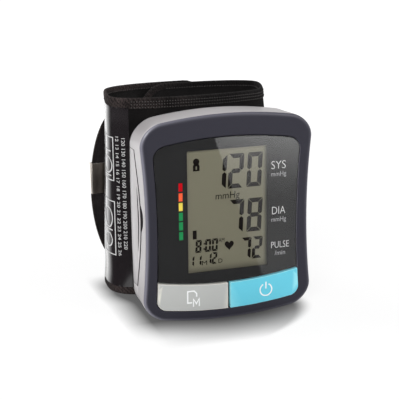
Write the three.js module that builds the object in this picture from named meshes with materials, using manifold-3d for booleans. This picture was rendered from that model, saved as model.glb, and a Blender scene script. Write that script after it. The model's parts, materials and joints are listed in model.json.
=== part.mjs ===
// Wrist blood pressure monitor with its cuff closed, in millimetres.
// +Z is up and the display faces -Y. The origin is the middle of the flat
// under the monitor, which it stands on.
import * as THREE from 'three';
import { mergeVertices } from 'three/addons/utils/BufferGeometryUtils.js';
import Module from 'manifold-3d';

const wasm = await Module();
wasm.setup();

// Clearances and working values that many pieces share
const seatGap = 0.3;
const screwGap = 0.2;
const overrun = 2;
const weld = 0.0001;
const curveSteps = 6;
const roundSides = 18;
const screwSides = 12;

// Monitor case, seen from the front
const caseHeight = 82;
const caseHalfTop = 34.9;
const caseHalfWaist = 33.3;
const caseHalfBottom = 34.8;
const caseArch = 2.1;
const caseCorner = 9;
const caseLowCorner = 8.3;
const standCut = 0.4;
const caseWall = 1.8;

// Monitor case, from front to back
const caseDepth = 24.5;
const standSetback = 13;
const bezelDepth = 0.95;
const bezelRound = 1.1;
const sideDepth = 13.7;
const sideBow = 2;
const backNarrowing = 5;
const backLowering = 6;
const caseFront = -standSetback;
const caseBack = caseFront + caseDepth;
const seam = caseFront + bezelDepth;
const shellFront = seam + seatGap;
const sideEnd = caseFront + sideDepth;
const shellInnerBack = caseBack - caseWall;

// Window for the lens and the keys
const windowHalfTop = 30.1;
const windowHalfWaist = 28.95;
const windowHalfBottom = 29.8;
const windowTop = 73.1;
const windowBottom = 3.6;
const windowArch = 2.1;
const windowCorner = 4.6;
const windowLowCorner = 3.7;
const lensThickness = 1.2;
const lensGap = 0.2;
const webThickness = 1.4;
const webFront = caseFront + lensThickness + seatGap;
const webBack = webFront + webThickness;
const lipDepth = 3;
const lipWall = 1.4;
const lipBack = seam + lipDepth;

// Keys
const divideHeight = 14.65;
const divideLift = 2.6;
const divideHalf = 28;
const lensKeyGap = 0.25;
const keyGap = 0.3;
const keySplit = 1;
const keyProud = 0.3;
const keyThickness = 2;
const keyTravel = 0.6;
const keyStemRadius = 1.5;
const keyStemLength = 0.9;
const keyStemHole = 2.3;
const keyCentreX = 15;
const keyCentreZ = 10.6;
const pocketWall = 1.2;
const keyFront = caseFront - keyProud;
const keyBack = keyFront + keyThickness;
const pocketFloor = keyBack + keyStemLength;
const pocketBack = pocketFloor + webThickness;

// Display
const lcdWidth = 33.2;
const lcdHeight = 48.6;
const lcdThickness = 2;
const lcdCentreZ = 43.9;
const lcdSetback = 0.4;
const holderBorder = 1.9;
const holderThickness = 1.2;
const holderOverlap = 1.6;
const stripHeight = 1.6;
const lcdFront = caseFront + lensThickness + lcdSetback;
const lcdBack = lcdFront + lcdThickness;
const holderFront = lcdBack + seatGap;
const holderBack = holderFront + holderThickness;

// Circuit board and what is on it
const boardHalfWidth = 23;
const boardBottom = 5.8;
const boardTop = 68.6;
const boardThickness = 1.2;
const boardPostX = 21;
const boardPostLowZ = 24;
const boardPostHighZ = 63.5;
const boardPostRadius = 1.7;
const boardFront = holderBack + seatGap;
const boardBack = boardFront + boardThickness;
const switchWidth = 4.5;
const switchHeight = 0.8;
const plungerRadius = 0.9;
const plungerFront = pocketFloor + keyTravel + seatGap;
const chipWidth = 9;
const chipHeight = 1.2;
const chipX = 4;
const chipZ = 29;
const buzzerRadius = 5;
const buzzerHeight = 2.2;
const buzzerX = 10;
const buzzerZ = 62.5;

// Screws
const caseScrewLowX = 24.5;
const caseScrewHighX = 22;
const caseScrewLowZ = 9.8;
const caseScrewHighZ = 69.4;
const caseBossRadius = 2.9;
const casePostRadius = 2.4;
const postBeyondBoard = 1.1;
const casePostBack = boardBack + postBeyondBoard;
const crownShare = 0.7;
const caseScrew = { head: 1.9, headHeight: 1.3, shank: 0.8, length: 5.5 };
const caseScrewSeat = casePostBack + seatGap + caseWall;
const boardScrew = { head: 1.5, headHeight: 0.9, shank: 0.6, length: 3.2 };
const cuffScrew = { head: 2.7, headHeight: 1.1, shank: 1, length: 3.4 };
const cuffPostRadius = 2;
const cuffPostLeftX = -5;
const cuffPostRightX = 11.5;
const cuffPostLowZ = 14;
const cuffPostHighZ = 69;

// Two battery cells side by side behind a cover in the left side
const cellRadius = 5.2;
const cellLength = 44.5;
const cellNubRadius = 1.9;
const cellNubHeight = 1;
const cellPitch = 10.8;
const cellSideGap = 0.85;
const cellOuterX = -((caseHalfTop + caseHalfBottom) / 2 - caseWall - cellSideGap - cellRadius);
const cellY = 2;
const cellBottom = 19.1;
const trayWall = 1.2;
const traySide = 0.35;
const trayEnd = 2.9;
const contactSheet = 0.4;
const contactHalf = 4.2;
const springRadius = 3.2;
const springWire = 0.3;
const springTurns = 3;
const springStepsPerTurn = 10;
const springSides = 3;
const coverFront = -6.5;
const coverBack = 8.5;
const coverBottom = 14.1;
const coverTop = 68.4;
const coverGap = 0.3;
const nailRadius = 14.6;
const nailDepth = 1.4;
const nailCut = 1.3;
const nailZ = 41.5;
const cellInnerX = cellOuterX + cellPitch;
const cellTop = cellBottom + cellLength;
const trayLeft = -caseHalfWaist + caseWall + seatGap;
const trayRight = cellInnerX + cellRadius + traySide;
const trayFront = cellY - cellRadius - traySide;
const trayBack = cellY + cellRadius + traySide;
const trayBottom = cellBottom - trayEnd;
const trayTop = cellTop + trayEnd;

// Air system
const pumpX = 21;
const motorRadius = 6;
const motorBottom = 13;
const motorLength = 17;
const pumpHeadWidth = 13;
const pumpHeadHeight = 12;
const nozzleRadius = 1.1;
const nozzleLength = 3;
const valveRadius = 5;
const valveLength = 12;
const valveNozzleRise = 6.5;
const sensorX = -2;
const sensorWidth = 6.5;
const sensorHeight = 2.4;
const portRadius = 1.1;
const portLength = 3;
const manifoldX = 8;
const manifoldZ = 50;
const manifoldRadius = 3;
const manifoldLength = 7;
const manifoldBore = 1.8;
const armRadius = 1.1;
const armLength = 2.6;
const hoseRadius = 1.9;
const hoseBore = 1.3;
const hoseSides = 4;
const hoseSteps = 12;
const hoseBend = 3;
const nippleRadius = 1.5;
const valveBottom = manifoldZ + manifoldRadius;
const valveNozzleZ = valveBottom + valveNozzleRise;
const manifoldBack = shellInnerBack - seatGap;
const manifoldFront = manifoldBack - manifoldLength;
const manifoldY = (manifoldFront + manifoldBack) / 2;

// Cuff loop, seen from above
const cuffCentreX = -5.4;
const cuffHalfWidth = 34.6;
const cuffHalfDepth = 15.05;
const clothGap = 0.2;
const bindingTape = 0.35;
const tapeReach = clothGap + bindingTape;
const cuffFront = caseBack + tapeReach + seatGap;
const cuffCentreY = cuffFront + cuffHalfDepth;
const cuffPower = 2.5;
const angleStep = 6;
const panelGapAngle = 0.6;

// Cuff layers, measured inwards from the outside of the loop
const coverCloth = 0.6;
const stayThickness = 0.7;
const bladderThickness = 0.9;
const liningCloth = 0.5;
const bindingHeight = 4.6;
const stayOuter = coverCloth + clothGap;
const bladderOuter = stayOuter + stayThickness + clothGap;
const liningOuter = bladderOuter + bladderThickness + clothGap;
const bandThickness = liningOuter + liningCloth;
const layerStep = bandThickness + 2 * tapeReach + seatGap;

// Cuff heights
const cuffBottom = 3.9;
const cuffTop = 85;
const stayMargin = 4.5;
const bladderMargin = 5.5;
const cuffLift = 1.6;
const cuffLean = 2.2;
const liftStart = 17;
const liftEnd = 30;
const bandBottom = cuffBottom + tapeReach;
const bandTop = cuffTop - tapeReach;

// Angles round the loop: -90 is the middle of the front wall, 0 the right
// end, 90 the back, and -180 the left end
const outerEndAngle = -288;
const leftPanelEnd = -215;
const leftPanelStart = -140;
const rightPanelStart = -40;
const rightPanelEnd = 38;
const innerEndAngle = 120;
const driftStart = 4;
const driftEnd = 60;
const stayFrom = -168;
const stayTo = -12;
const bladderFrom = -104;
const bladderTo = 100;
const innerEndX = -22;
const innerEndCorner = 12;

// Label panel on the left end
const labelThickness = 0.35;
const labelFrom = -212;
const labelTo = -134;

// Fastening strap over the outside of the back, with its free tongue
const strapThickness = 1.2;
const strapClearance = 0.9;
const strapHalfHeight = 33;
const strapCentreZ = 42.4;
const strapFrom = -6;
const strapTo = 98;
const hookThickness = 0.5;
const hookFrom = 58;
const hookTo = 96;
const hookHalfHeight = 30;
const tongueRootX = -28;
const tongueLength = 12.8;
const tongueCentreX = -27;
const clipHeight = 13.2;
const clipReach = 7.4;
const clipSheet = 0.55;
const clipZ = 45.9;
const strapInnerY = cuffFront + 2 * cuffHalfDepth + strapClearance;
const strapOuterY = strapInnerY + strapThickness;
const tongueTipX = tongueRootX - tongueLength;

// Finishes
const finishes = {
  bezel: { color: 0x3b3943, roughness: 0.45, metalness: 0.1 },
  shell: { color: 0xc4bfc4, roughness: 0.4, metalness: 0.3 },
  lens: { color: 0x2e2e30, roughness: 0.08, metalness: 0 },
  lcd: { color: 0x8f8d76, roughness: 0.3, metalness: 0 },
  keyGrey: { color: 0xbcbeb9, roughness: 0.45, metalness: 0 },
  keyBlue: { color: 0x66c8df, roughness: 0.4, metalness: 0 },
  plastic: { color: 0x2a2a2c, roughness: 0.6, metalness: 0 },
  whitePlastic: { color: 0xd8d8d4, roughness: 0.6, metalness: 0 },
  board: { color: 0x1f5a3a, roughness: 0.55, metalness: 0 },
  steel: { color: 0xa9abad, roughness: 0.35, metalness: 1 },
  nickel: { color: 0xb9b2a6, roughness: 0.2, metalness: 1 },
  rubber: { color: 0xcfcabf, roughness: 0.7, metalness: 0 },
  cell: { color: 0x4a4e55, roughness: 0.35, metalness: 0.3 },
  cloth: { color: 0x1c1a1a, roughness: 0.9, metalness: 0 },
  tape: { color: 0x35302f, roughness: 0.95, metalness: 0 },
  vinyl: { color: 0x262224, roughness: 0.2, metalness: 0 },
  bladder: { color: 0x6f7276, roughness: 0.5, metalness: 0 },
};

const monitor = new THREE.Group();

function addPiece(name, form, finish) {
  const mesh = new THREE.Mesh(form, new THREE.MeshStandardMaterial(finishes[finish]));
  mesh.name = name;
  monitor.add(mesh);
}

// Conversions between three.js geometry and manifold solids
function solid(geometry) {
  const bare = geometry.clone();
  bare.deleteAttribute('normal');
  bare.deleteAttribute('uv');
  const merged = mergeVertices(bare, weld);
  return new wasm.Manifold(new wasm.Mesh({
    numProp: 3,
    vertProperties: new Float32Array(merged.attributes.position.array),
    triVerts: new Uint32Array(merged.index.array),
  }));
}

function form(body) {
  const mesh = body.getMesh();
  const geometry = new THREE.BufferGeometry();
  geometry.setAttribute('position', new THREE.BufferAttribute(mesh.vertProperties, 3));
  geometry.setIndex(new THREE.BufferAttribute(mesh.triVerts, 1));
  geometry.computeVertexNormals();
  return geometry;
}

function cut(body, ...tools) {
  return tools.reduce((left, tool) => left.subtract(tool), body);
}

function join(body, ...others) {
  return others.reduce((left, other) => left.add(other), body);
}

function reshape(geometry, move) {
  const places = geometry.attributes.position;
  const point = new THREE.Vector3();
  for (let i = 0; i < places.count; i += 1) {
    point.fromBufferAttribute(places, i);
    move(point);
    places.setXYZ(i, point.x, point.y, point.z);
  }
  return geometry;
}

function smooth(low, high, value) {
  const share = THREE.MathUtils.clamp((value - low) / (high - low), 0, 1);
  return share * share * (3 - 2 * share);
}

// Basic solids between stated faces
function slab(shape, front, back, steps = 1) {
  const geometry = new THREE.ExtrudeGeometry(shape, {
    depth: back - front, steps, bevelEnabled: false, curveSegments: curveSteps,
  });
  geometry.rotateX(Math.PI / 2);
  return geometry.translate(0, back, 0);
}

function upright(shape, low, high) {
  const geometry = new THREE.ExtrudeGeometry(shape, {
    depth: high - low, bevelEnabled: false, curveSegments: curveSteps,
  });
  return geometry.translate(0, 0, low);
}

function block(x0, x1, y0, y1, z0, z1) {
  const geometry = new THREE.BoxGeometry(x1 - x0, y1 - y0, z1 - z0);
  return solid(geometry.translate((x0 + x1) / 2, (y0 + y1) / 2, (z0 + z1) / 2));
}

function rodY(radius, x, z, front, back, sides = roundSides) {
  const geometry = new THREE.CylinderGeometry(radius, radius, back - front, sides);
  return solid(geometry.translate(x, (front + back) / 2, z));
}

function rodZ(radius, x, y, low, high, sides = roundSides) {
  const geometry = new THREE.CylinderGeometry(radius, radius, high - low, sides);
  geometry.rotateX(Math.PI / 2);
  return solid(geometry.translate(x, y, (low + high) / 2));
}

function rodX(radius, y, z, left, right, sides = roundSides) {
  const geometry = new THREE.CylinderGeometry(radius, radius, right - left, sides);
  geometry.rotateZ(Math.PI / 2);
  return solid(geometry.translate((left + right) / 2, y, z));
}

// Closed outline with arched top and bottom, waisted sides and round corners
function softOutline({ halfTop, halfWaist, halfBottom, top, bottom, arch, corner, lowCorner }) {
  const arcShare = 0.5523;
  const middle = (top + bottom) / 2;
  const sideControl = 2 * halfWaist - (halfTop + halfBottom) / 2;
  const shape = new THREE.Shape();
  const quarter = (half, edge, outward, radius) => {
    const startX = half - radius;
    const startZ = edge - outward * arch;
    const slope = (-2 * outward * arch) / startX;
    const kneeZ = startZ + slope * radius;
    const endZ = kneeZ - outward * radius;
    const along = new THREE.Vector2(sideControl - half, middle - endZ).normalize();
    return { half, startX, startZ, slope, endZ, along, reach: radius * arcShare };
  };
  const low = quarter(halfBottom, bottom, -1, lowCorner);
  const high = quarter(halfTop, top, 1, corner);
  shape.moveTo(-low.startX, low.startZ);
  shape.quadraticCurveTo(0, 2 * bottom - low.startZ, low.startX, low.startZ);
  shape.bezierCurveTo(
    low.startX + low.reach, low.startZ + low.slope * low.reach,
    low.half - low.along.x * low.reach, low.endZ - low.along.y * low.reach, low.half, low.endZ);
  shape.quadraticCurveTo(sideControl, middle, high.half, high.endZ);
  shape.bezierCurveTo(
    high.half - high.along.x * high.reach, high.endZ - high.along.y * high.reach,
    high.startX + high.reach, high.startZ + high.slope * high.reach, high.startX, high.startZ);
  shape.quadraticCurveTo(0, 2 * top - high.startZ, -high.startX, high.startZ);
  shape.bezierCurveTo(
    -high.startX - high.reach, high.startZ + high.slope * high.reach,
    -high.half + high.along.x * high.reach, high.endZ - high.along.y * high.reach, -high.half, high.endZ);
  shape.quadraticCurveTo(-sideControl, middle, -low.half, low.endZ);
  shape.bezierCurveTo(
    -low.half + low.along.x * low.reach, low.endZ - low.along.y * low.reach,
    -low.startX - low.reach, low.startZ + low.slope * low.reach, -low.startX, low.startZ);
  return shape;
}

function caseOutline(inset) {
  return softOutline({
    halfTop: caseHalfTop - inset,
    halfWaist: caseHalfWaist - inset,
    halfBottom: caseHalfBottom - inset,
    top: caseHeight - inset,
    bottom: inset - standCut,
    arch: caseArch,
    corner: caseCorner - inset,
    lowCorner: caseLowCorner - inset,
  });
}

function windowOutline(inset) {
  return softOutline({
    halfTop: windowHalfTop - inset,
    halfWaist: windowHalfWaist - inset,
    halfBottom: windowHalfBottom - inset,
    top: windowTop - inset,
    bottom: windowBottom + inset,
    arch: windowArch,
    corner: windowCorner - inset,
    lowCorner: windowLowCorner - inset,
  });
}

// The side of the window above or below the arched line over the keys
function divideRegion(shift, far) {
  const line = divideHeight + shift;
  const side = line + divideLift;
  const shape = new THREE.Shape();
  shape.moveTo(-divideHalf, side);
  shape.quadraticCurveTo(0, 2 * line - side, divideHalf, side);
  shape.lineTo(caseHalfTop, side);
  shape.lineTo(caseHalfTop, far);
  shape.lineTo(-caseHalfTop, far);
  shape.lineTo(-caseHalfTop, side);
  shape.closePath();
  return shape;
}

const caseMiddle = caseHeight / 2;

function underStand() {
  return block(-caseHalfTop, caseHalfTop, caseFront - overrun, caseBack + overrun, -overrun, 0);
}

// The shell keeps its waist at the seam, grows a little bowed towards its
// rear edge, then narrows and lowers to the back
function shellForm(inset, front, back) {
  const steps = 8;
  return solid(reshape(slab(caseOutline(inset), front, back, steps), (point) => {
    const high = (point.z - caseMiddle) / caseMiddle;
    const straight = (caseHalfTop + caseHalfBottom) / 2;
    const waisted = caseHalfWaist + (straight - caseHalfWaist) * Math.min(high * high, 1);
    const bowed = straight - sideBow * high * high;
    const filled = smooth(seam, sideEnd, point.y) * (bowed / waisted - 1);
    const rear = THREE.MathUtils.clamp((point.y - sideEnd) / (caseBack - sideEnd), 0, 1);
    const narrow = (backNarrowing / caseHalfTop) * rear * rear;
    const lower = (backLowering / caseHeight) * rear * rear;
    point.x *= (1 + filled) * (1 - narrow);
    point.z *= 1 - lower;
  }));
}

const caseScrewPlaces = [
  [-caseScrewLowX, caseScrewLowZ], [caseScrewLowX, caseScrewLowZ],
  [-caseScrewHighX, caseScrewHighZ], [caseScrewHighX, caseScrewHighZ],
];
const boardScrewPlaces = [
  [-boardPostX, boardPostLowZ], [boardPostX, boardPostLowZ],
  [-boardPostX, boardPostHighZ], [boardPostX, boardPostHighZ],
];
const cuffScrewPlaces = [
  [cuffPostLeftX, cuffPostLowZ], [cuffPostRightX, cuffPostLowZ],
  [cuffPostLeftX, cuffPostHighZ], [cuffPostRightX, cuffPostHighZ],
];

function buildFrontHousing() {
  const bezelSteps = 4;
  const edge = slab(caseOutline(0), caseFront, seam, bezelSteps);
  const plate = solid(reshape(edge, (point) => {
    const forward = (seam - point.y) / bezelDepth;
    const inset = bezelRound * (1 - Math.sqrt(Math.max(1 - forward * forward, 0)));
    point.x *= 1 - inset / caseHalfTop;
    point.z = caseMiddle + (point.z - caseMiddle) * (1 - inset / caseMiddle);
  }));
  const lipInset = caseWall + seatGap;
  const core = solid(slab(caseOutline(lipInset), caseFront + bezelDepth / 2, lipBack));
  const hollow = solid(slab(caseOutline(lipInset + lipWall), webBack, lipBack + overrun));
  const pocketOuter = solid(slab(windowOutline(-pocketWall), webFront, pocketBack))
    .intersect(solid(slab(divideRegion(pocketWall, -overrun), webFront, pocketBack)));
  const casePosts = caseScrewPlaces.map(([x, z]) => (
    rodY(casePostRadius, x, z, webBack - webThickness / 2, casePostBack)));
  const boardPosts = boardScrewPlaces.map(([x, z]) => (
    rodY(boardPostRadius, x, z, webBack - webThickness / 2, boardFront - seatGap)));
  const lensSeat = solid(slab(windowOutline(0), caseFront - overrun, webFront));
  const pocket = solid(slab(windowOutline(0), caseFront - overrun, pocketFloor))
    .intersect(solid(slab(divideRegion(0, -overrun), caseFront - overrun, pocketFloor)));
  const halfLcd = lcdWidth / 2 + seatGap;
  const halfTall = lcdHeight / 2 + seatGap;
  const lcdHole = block(-halfLcd, halfLcd, caseFront - overrun, webBack + overrun,
    lcdCentreZ - halfTall, lcdCentreZ + halfTall);
  const stemHoles = [-keyCentreX, keyCentreX].map((x) => (
    rodY(keyStemHole, x, keyCentreZ, caseFront - overrun, pocketBack + overrun)));
  const casePilots = caseScrewPlaces.map(([x, z]) => (
    rodY(caseScrew.shank + screwGap, x, z, pocketBack, casePostBack + overrun, screwSides)));
  const boardPilots = boardScrewPlaces.map(([x, z]) => (
    rodY(boardScrew.shank + screwGap, x, z, webBack, boardFront + overrun, screwSides)));
  const body = join(cut(join(plate, core), hollow), pocketOuter, ...casePosts, ...boardPosts);
  return form(cut(body, lensSeat, pocket, lcdHole, ...stemHoles, ...casePilots, ...boardPilots,
    underStand()));
}

function buildLens() {
  const back = caseFront + lensThickness;
  const whole = solid(slab(windowOutline(lensGap), caseFront, back));
  const above = solid(slab(divideRegion(lensKeyGap, caseHeight), caseFront - overrun, back + overrun));
  return form(whole.intersect(above));
}

function buildKey(side) {
  const whole = solid(slab(windowOutline(keyGap), keyFront, keyBack));
  const below = solid(slab(divideRegion(-lensKeyGap, -overrun), keyFront - overrun, keyBack + overrun));
  const near = (side * keySplit) / 2;
  const far = side * caseHalfTop;
  const half = block(Math.min(near, far), Math.max(near, far), keyFront - overrun,
    keyBack + overrun, -overrun, caseMiddle);
  const stem = rodY(keyStemRadius, side * keyCentreX, keyCentreZ, keyBack - keyThickness / 2, pocketFloor);
  return form(join(whole.intersect(below).intersect(half), stem));
}

function buildSwitch(side) {
  const back = boardFront - seatGap;
  const front = back - switchHeight;
  const half = switchWidth / 2;
  const x = side * keyCentreX;
  const base = block(x - half, x + half, front, back, keyCentreZ - half, keyCentreZ + half);
  return form(join(base, rodY(plungerRadius, x, keyCentreZ, plungerFront, front + switchHeight / 2)));
}

function buildLcdHolder() {
  const halfWide = lcdWidth / 2 + seatGap;
  const halfTall = lcdHeight / 2 + seatGap;
  const outerWide = halfWide + holderBorder;
  const outerTall = halfTall + holderBorder;
  const innerWide = halfWide - holderOverlap;
  const innerTall = halfTall - holderOverlap;
  const rimFront = webBack + seatGap;
  const plate = block(-outerWide, outerWide, rimFront, holderBack,
    lcdCentreZ - outerTall, lcdCentreZ + outerTall);
  const well = block(-halfWide, halfWide, rimFront - overrun, holderFront,
    lcdCentreZ - halfTall, lcdCentreZ + halfTall);
  const opening = block(-innerWide, innerWide, rimFront - overrun, holderBack + overrun,
    lcdCentreZ - innerTall, lcdCentreZ + innerTall);
  return form(cut(plate, well, opening));
}

function buildElastomerStrip() {
  const half = lcdWidth / 2 - holderOverlap;
  const low = lcdCentreZ - lcdHeight / 2 + holderOverlap;
  return form(block(-half, half, holderFront, holderBack, low, low + stripHeight));
}

function buildBoard() {
  const board = block(-boardHalfWidth, boardHalfWidth, boardFront, boardBack, boardBottom, boardTop);
  const corners = caseScrewPlaces.map(([x, z]) => (
    rodY(casePostRadius + seatGap, x, z, boardFront - overrun, boardBack + overrun)));
  const holes = boardScrewPlaces.map(([x, z]) => (
    rodY(boardScrew.shank + seatGap, x, z, boardFront - overrun, boardBack + overrun, screwSides)));
  return form(cut(board, ...corners, ...holes));
}

function coverRegion(margin) {
  return block(-caseHalfTop - overrun, cellOuterX - cellRadius / 2,
    coverFront - margin, coverBack + margin, coverBottom - margin, coverTop + margin);
}

function buildRearHousing() {
  const outer = shellForm(0, shellFront, caseBack);
  const inner = shellForm(caseWall, shellFront - overrun, shellInnerBack);
  const bosses = caseScrewPlaces.map(([x, z]) => (
    rodY(caseBossRadius, x, z, casePostBack + seatGap, caseBack)));
  const tray = block(trayLeft, trayRight + trayWall, trayFront - trayWall, caseBack - caseWall / 2,
    trayBottom - trayWall, trayTop + trayWall);
  const solids = join(cut(outer, inner), join(tray, ...bosses).intersect(outer));
  const trayHollow = block(trayLeft - overrun, trayRight, trayFront, trayBack, trayBottom, trayTop);
  const screwWays = caseScrewPlaces.flatMap(([x, z]) => [
    rodY(caseScrew.shank + seatGap, x, z, casePostBack - overrun, caseBack + overrun, screwSides),
    rodY(caseScrew.head + seatGap, x, z, caseScrewSeat, caseBack + overrun),
  ]);
  const postHoles = cuffScrewPlaces.map(([x, z]) => (
    rodY(cuffPostRadius + seatGap, x, z, shellInnerBack - overrun, caseBack + overrun)));
  const nippleHole = rodY(nippleRadius + seatGap, manifoldX, manifoldZ,
    shellInnerBack - overrun, caseBack + overrun);
  const nail = rodX(nailRadius, coverFront - nailDepth + nailRadius, nailZ,
    -caseHalfTop - overrun, -caseHalfTop + nailCut, 2 * roundSides);
  return form(cut(solids, trayHollow, coverRegion(coverGap), ...screwWays, ...postHoles,
    nippleHole, nail, underStand()));
}

function buildBatteryCover() {
  const wall = cut(shellForm(0, shellFront, caseBack),
    shellForm(caseWall, shellFront - overrun, shellInnerBack));
  return form(wall.intersect(coverRegion(0)));
}

function buildCell(x, nubUp) {
  const profile = [
    new THREE.Vector2(0, 0),
    new THREE.Vector2(cellRadius, 0),
    new THREE.Vector2(cellRadius, cellLength - cellNubHeight),
    new THREE.Vector2(cellNubRadius, cellLength - cellNubHeight),
    new THREE.Vector2(cellNubRadius, cellLength),
    new THREE.Vector2(0, cellLength),
  ];
  const geometry = new THREE.LatheGeometry(profile, roundSides);
  geometry.rotateX(Math.PI / 2);
  if (!nubUp) {
    geometry.rotateX(Math.PI);
    geometry.translate(0, 0, cellLength);
  }
  return geometry.translate(x, cellY, cellBottom);
}

// Coil that stands on a contact sheet and narrows towards the cell
function contactSpring(x, low, high) {
  const points = [];
  const count = springTurns * springStepsPerTurn;
  const tipShare = 0.7;
  for (let i = 0; i <= count; i += 1) {
    const share = i / count;
    const radius = springRadius * (1 + (tipShare - 1) * share);
    const angle = 2 * Math.PI * springTurns * share;
    points.push(new THREE.Vector3(
      x + radius * Math.cos(angle), cellY + radius * Math.sin(angle), low + (high - low) * share));
  }
  const section = new THREE.Shape();
  section.absarc(0, 0, springWire, 0, 2 * Math.PI);
  return solid(new THREE.ExtrudeGeometry(section, {
    extrudePath: new THREE.CatmullRomCurve3(points), steps: count, curveSegments: springSides,
    bevelEnabled: false,
  }));
}

function contactPlate(x0, x1, low) {
  return block(x0 - contactHalf, x1 + contactHalf, cellY - contactHalf, cellY + contactHalf,
    low, low + contactSheet);
}

function buildLinkContact() {
  const low = trayBottom + seatGap;
  const top = low + contactSheet;
  const tip = cellBottom - seatGap;
  const spring = contactSpring(cellOuterX, top - contactSheet / 4, tip - springWire);
  const bump = rodZ(cellNubRadius, cellInnerX, cellY, top - contactSheet / 2, tip);
  return form(join(contactPlate(cellOuterX, cellInnerX, low), spring, bump));
}

function buildPlusContact() {
  const low = trayTop - seatGap - contactSheet;
  const bump = rodZ(cellNubRadius, cellOuterX, cellY, cellTop + seatGap, low + contactSheet / 2);
  return form(join(contactPlate(cellOuterX, cellOuterX, low), bump));
}

function buildMinusContact() {
  const low = trayTop - seatGap - contactSheet;
  const spring = contactSpring(cellInnerX, low + contactSheet / 4, cellTop + seatGap + springWire);
  return form(join(contactPlate(cellInnerX, cellInnerX, low), spring));
}

// Screw along Y whose head lies behind its seat, or in front of it
function screwForm({ head, headHeight, shank, length }, x, z, seat, headBehind) {
  const profile = [
    new THREE.Vector2(0, -length),
    new THREE.Vector2(shank / 2, -length),
    new THREE.Vector2(shank, -length + shank),
    new THREE.Vector2(shank, 0),
    new THREE.Vector2(head, 0),
    new THREE.Vector2(head, headHeight / 2),
    new THREE.Vector2(head * crownShare, headHeight),
    new THREE.Vector2(0, headHeight),
  ];
  const geometry = new THREE.LatheGeometry(profile, screwSides);
  if (!headBehind) geometry.rotateX(Math.PI);
  return geometry.translate(x, seat, z);
}

function addScrews(name, screw, places, seat, headBehind) {
  places.forEach(([x, z], i) => {
    addPiece(`${name}_${i + 1}`, screwForm(screw, x, z, seat, headBehind), 'steel');
  });
}

function buildPumpMotor() {
  const y = shellInnerBack - seatGap - motorRadius;
  return form(rodZ(motorRadius, pumpX, y, motorBottom, motorBottom + motorLength));
}

const pumpHeadLow = motorBottom + motorLength + seatGap;
const pumpHeadHigh = pumpHeadLow + pumpHeadHeight;
const pumpHeadY = shellInnerBack - seatGap - pumpHeadWidth / 2;

function buildPumpHead() {
  const half = pumpHeadWidth / 2;
  const head = block(pumpX - half, pumpX + half, pumpHeadY - half, pumpHeadY + half,
    pumpHeadLow, pumpHeadHigh);
  const nozzle = rodZ(nozzleRadius, pumpX, manifoldY, pumpHeadHigh - nozzleLength,
    pumpHeadHigh + nozzleLength);
  return form(join(head, nozzle));
}

function buildValve() {
  const y = shellInnerBack - seatGap - valveRadius;
  const body = rodZ(valveRadius, pumpX, y, valveBottom, valveBottom + valveLength);
  const nozzle = rodX(nozzleRadius, manifoldY, valveNozzleZ,
    pumpX - valveRadius - nozzleLength, pumpX);
  return form(join(body, nozzle));
}

function buildPressureSensor() {
  const front = boardBack + seatGap;
  const half = sensorWidth / 2;
  const body = block(sensorX - half, sensorX + half, front, front + sensorHeight,
    manifoldZ - half, manifoldZ + half);
  const port = rodY(portRadius, sensorX, manifoldZ, front + sensorHeight / 2,
    front + sensorHeight + portLength);
  return form(join(body, port));
}

function buildManifold() {
  const barrel = rodY(manifoldRadius, manifoldX, manifoldZ, manifoldFront, manifoldBack);
  const bore = rodY(manifoldBore, manifoldX, manifoldZ, manifoldY - armRadius, manifoldBack + overrun);
  const reach = manifoldRadius + armLength;
  const arms = [
    rodX(armRadius, manifoldY, manifoldZ, manifoldX - reach, manifoldX - manifoldBore),
    rodX(armRadius, manifoldY, manifoldZ, manifoldX + manifoldBore, manifoldX + reach),
    rodZ(armRadius, manifoldX, manifoldY, manifoldZ + manifoldBore, manifoldZ + reach),
  ];
  return form(cut(join(barrel, ...arms), bore));
}

// Hose along two straight runs with one round bend between them
function hoseForm(start, knee, end) {
  const into = knee.clone().sub(start).normalize().multiplyScalar(hoseBend);
  const away = end.clone().sub(knee).normalize().multiplyScalar(hoseBend);
  const path = new THREE.CurvePath();
  path.add(new THREE.LineCurve3(start, knee.clone().sub(into)));
  path.add(new THREE.QuadraticBezierCurve3(knee.clone().sub(into), knee, knee.clone().add(away)));
  path.add(new THREE.LineCurve3(knee.clone().add(away), end));
  const section = new THREE.Shape();
  section.absarc(0, 0, hoseRadius, 0, 2 * Math.PI);
  const bore = new THREE.Path();
  bore.absarc(0, 0, hoseBore, 0, 2 * Math.PI, true);
  section.holes.push(bore);
  return new THREE.ExtrudeGeometry(section, {
    extrudePath: path, steps: hoseSteps, curveSegments: hoseSides, bevelEnabled: false,
  });
}

function addHoses() {
  const rightStart = new THREE.Vector3(manifoldX + manifoldRadius + seatGap, manifoldY, manifoldZ);
  const leftStart = new THREE.Vector3(manifoldX - manifoldRadius - seatGap, manifoldY, manifoldZ);
  const topStart = new THREE.Vector3(manifoldX, manifoldY, manifoldZ + manifoldRadius + seatGap);
  const pumpKnee = new THREE.Vector3(pumpX, manifoldY, manifoldZ);
  const pumpEnd = new THREE.Vector3(pumpX, manifoldY, pumpHeadHigh + seatGap);
  addPiece('pump_hose', hoseForm(rightStart, pumpKnee, pumpEnd), 'rubber');
  const valveKnee = new THREE.Vector3(manifoldX, manifoldY, valveNozzleZ);
  const valveEnd = new THREE.Vector3(pumpX - valveRadius - seatGap, manifoldY, valveNozzleZ);
  addPiece('valve_hose', hoseForm(topStart, valveKnee, valveEnd), 'rubber');
  const sensorKnee = new THREE.Vector3(sensorX, manifoldY, manifoldZ);
  const sensorEnd = new THREE.Vector3(sensorX, boardBack + 2 * seatGap + sensorHeight, manifoldZ);
  addPiece('sensor_hose', hoseForm(leftStart, sensorKnee, sensorEnd), 'rubber');
}

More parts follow.
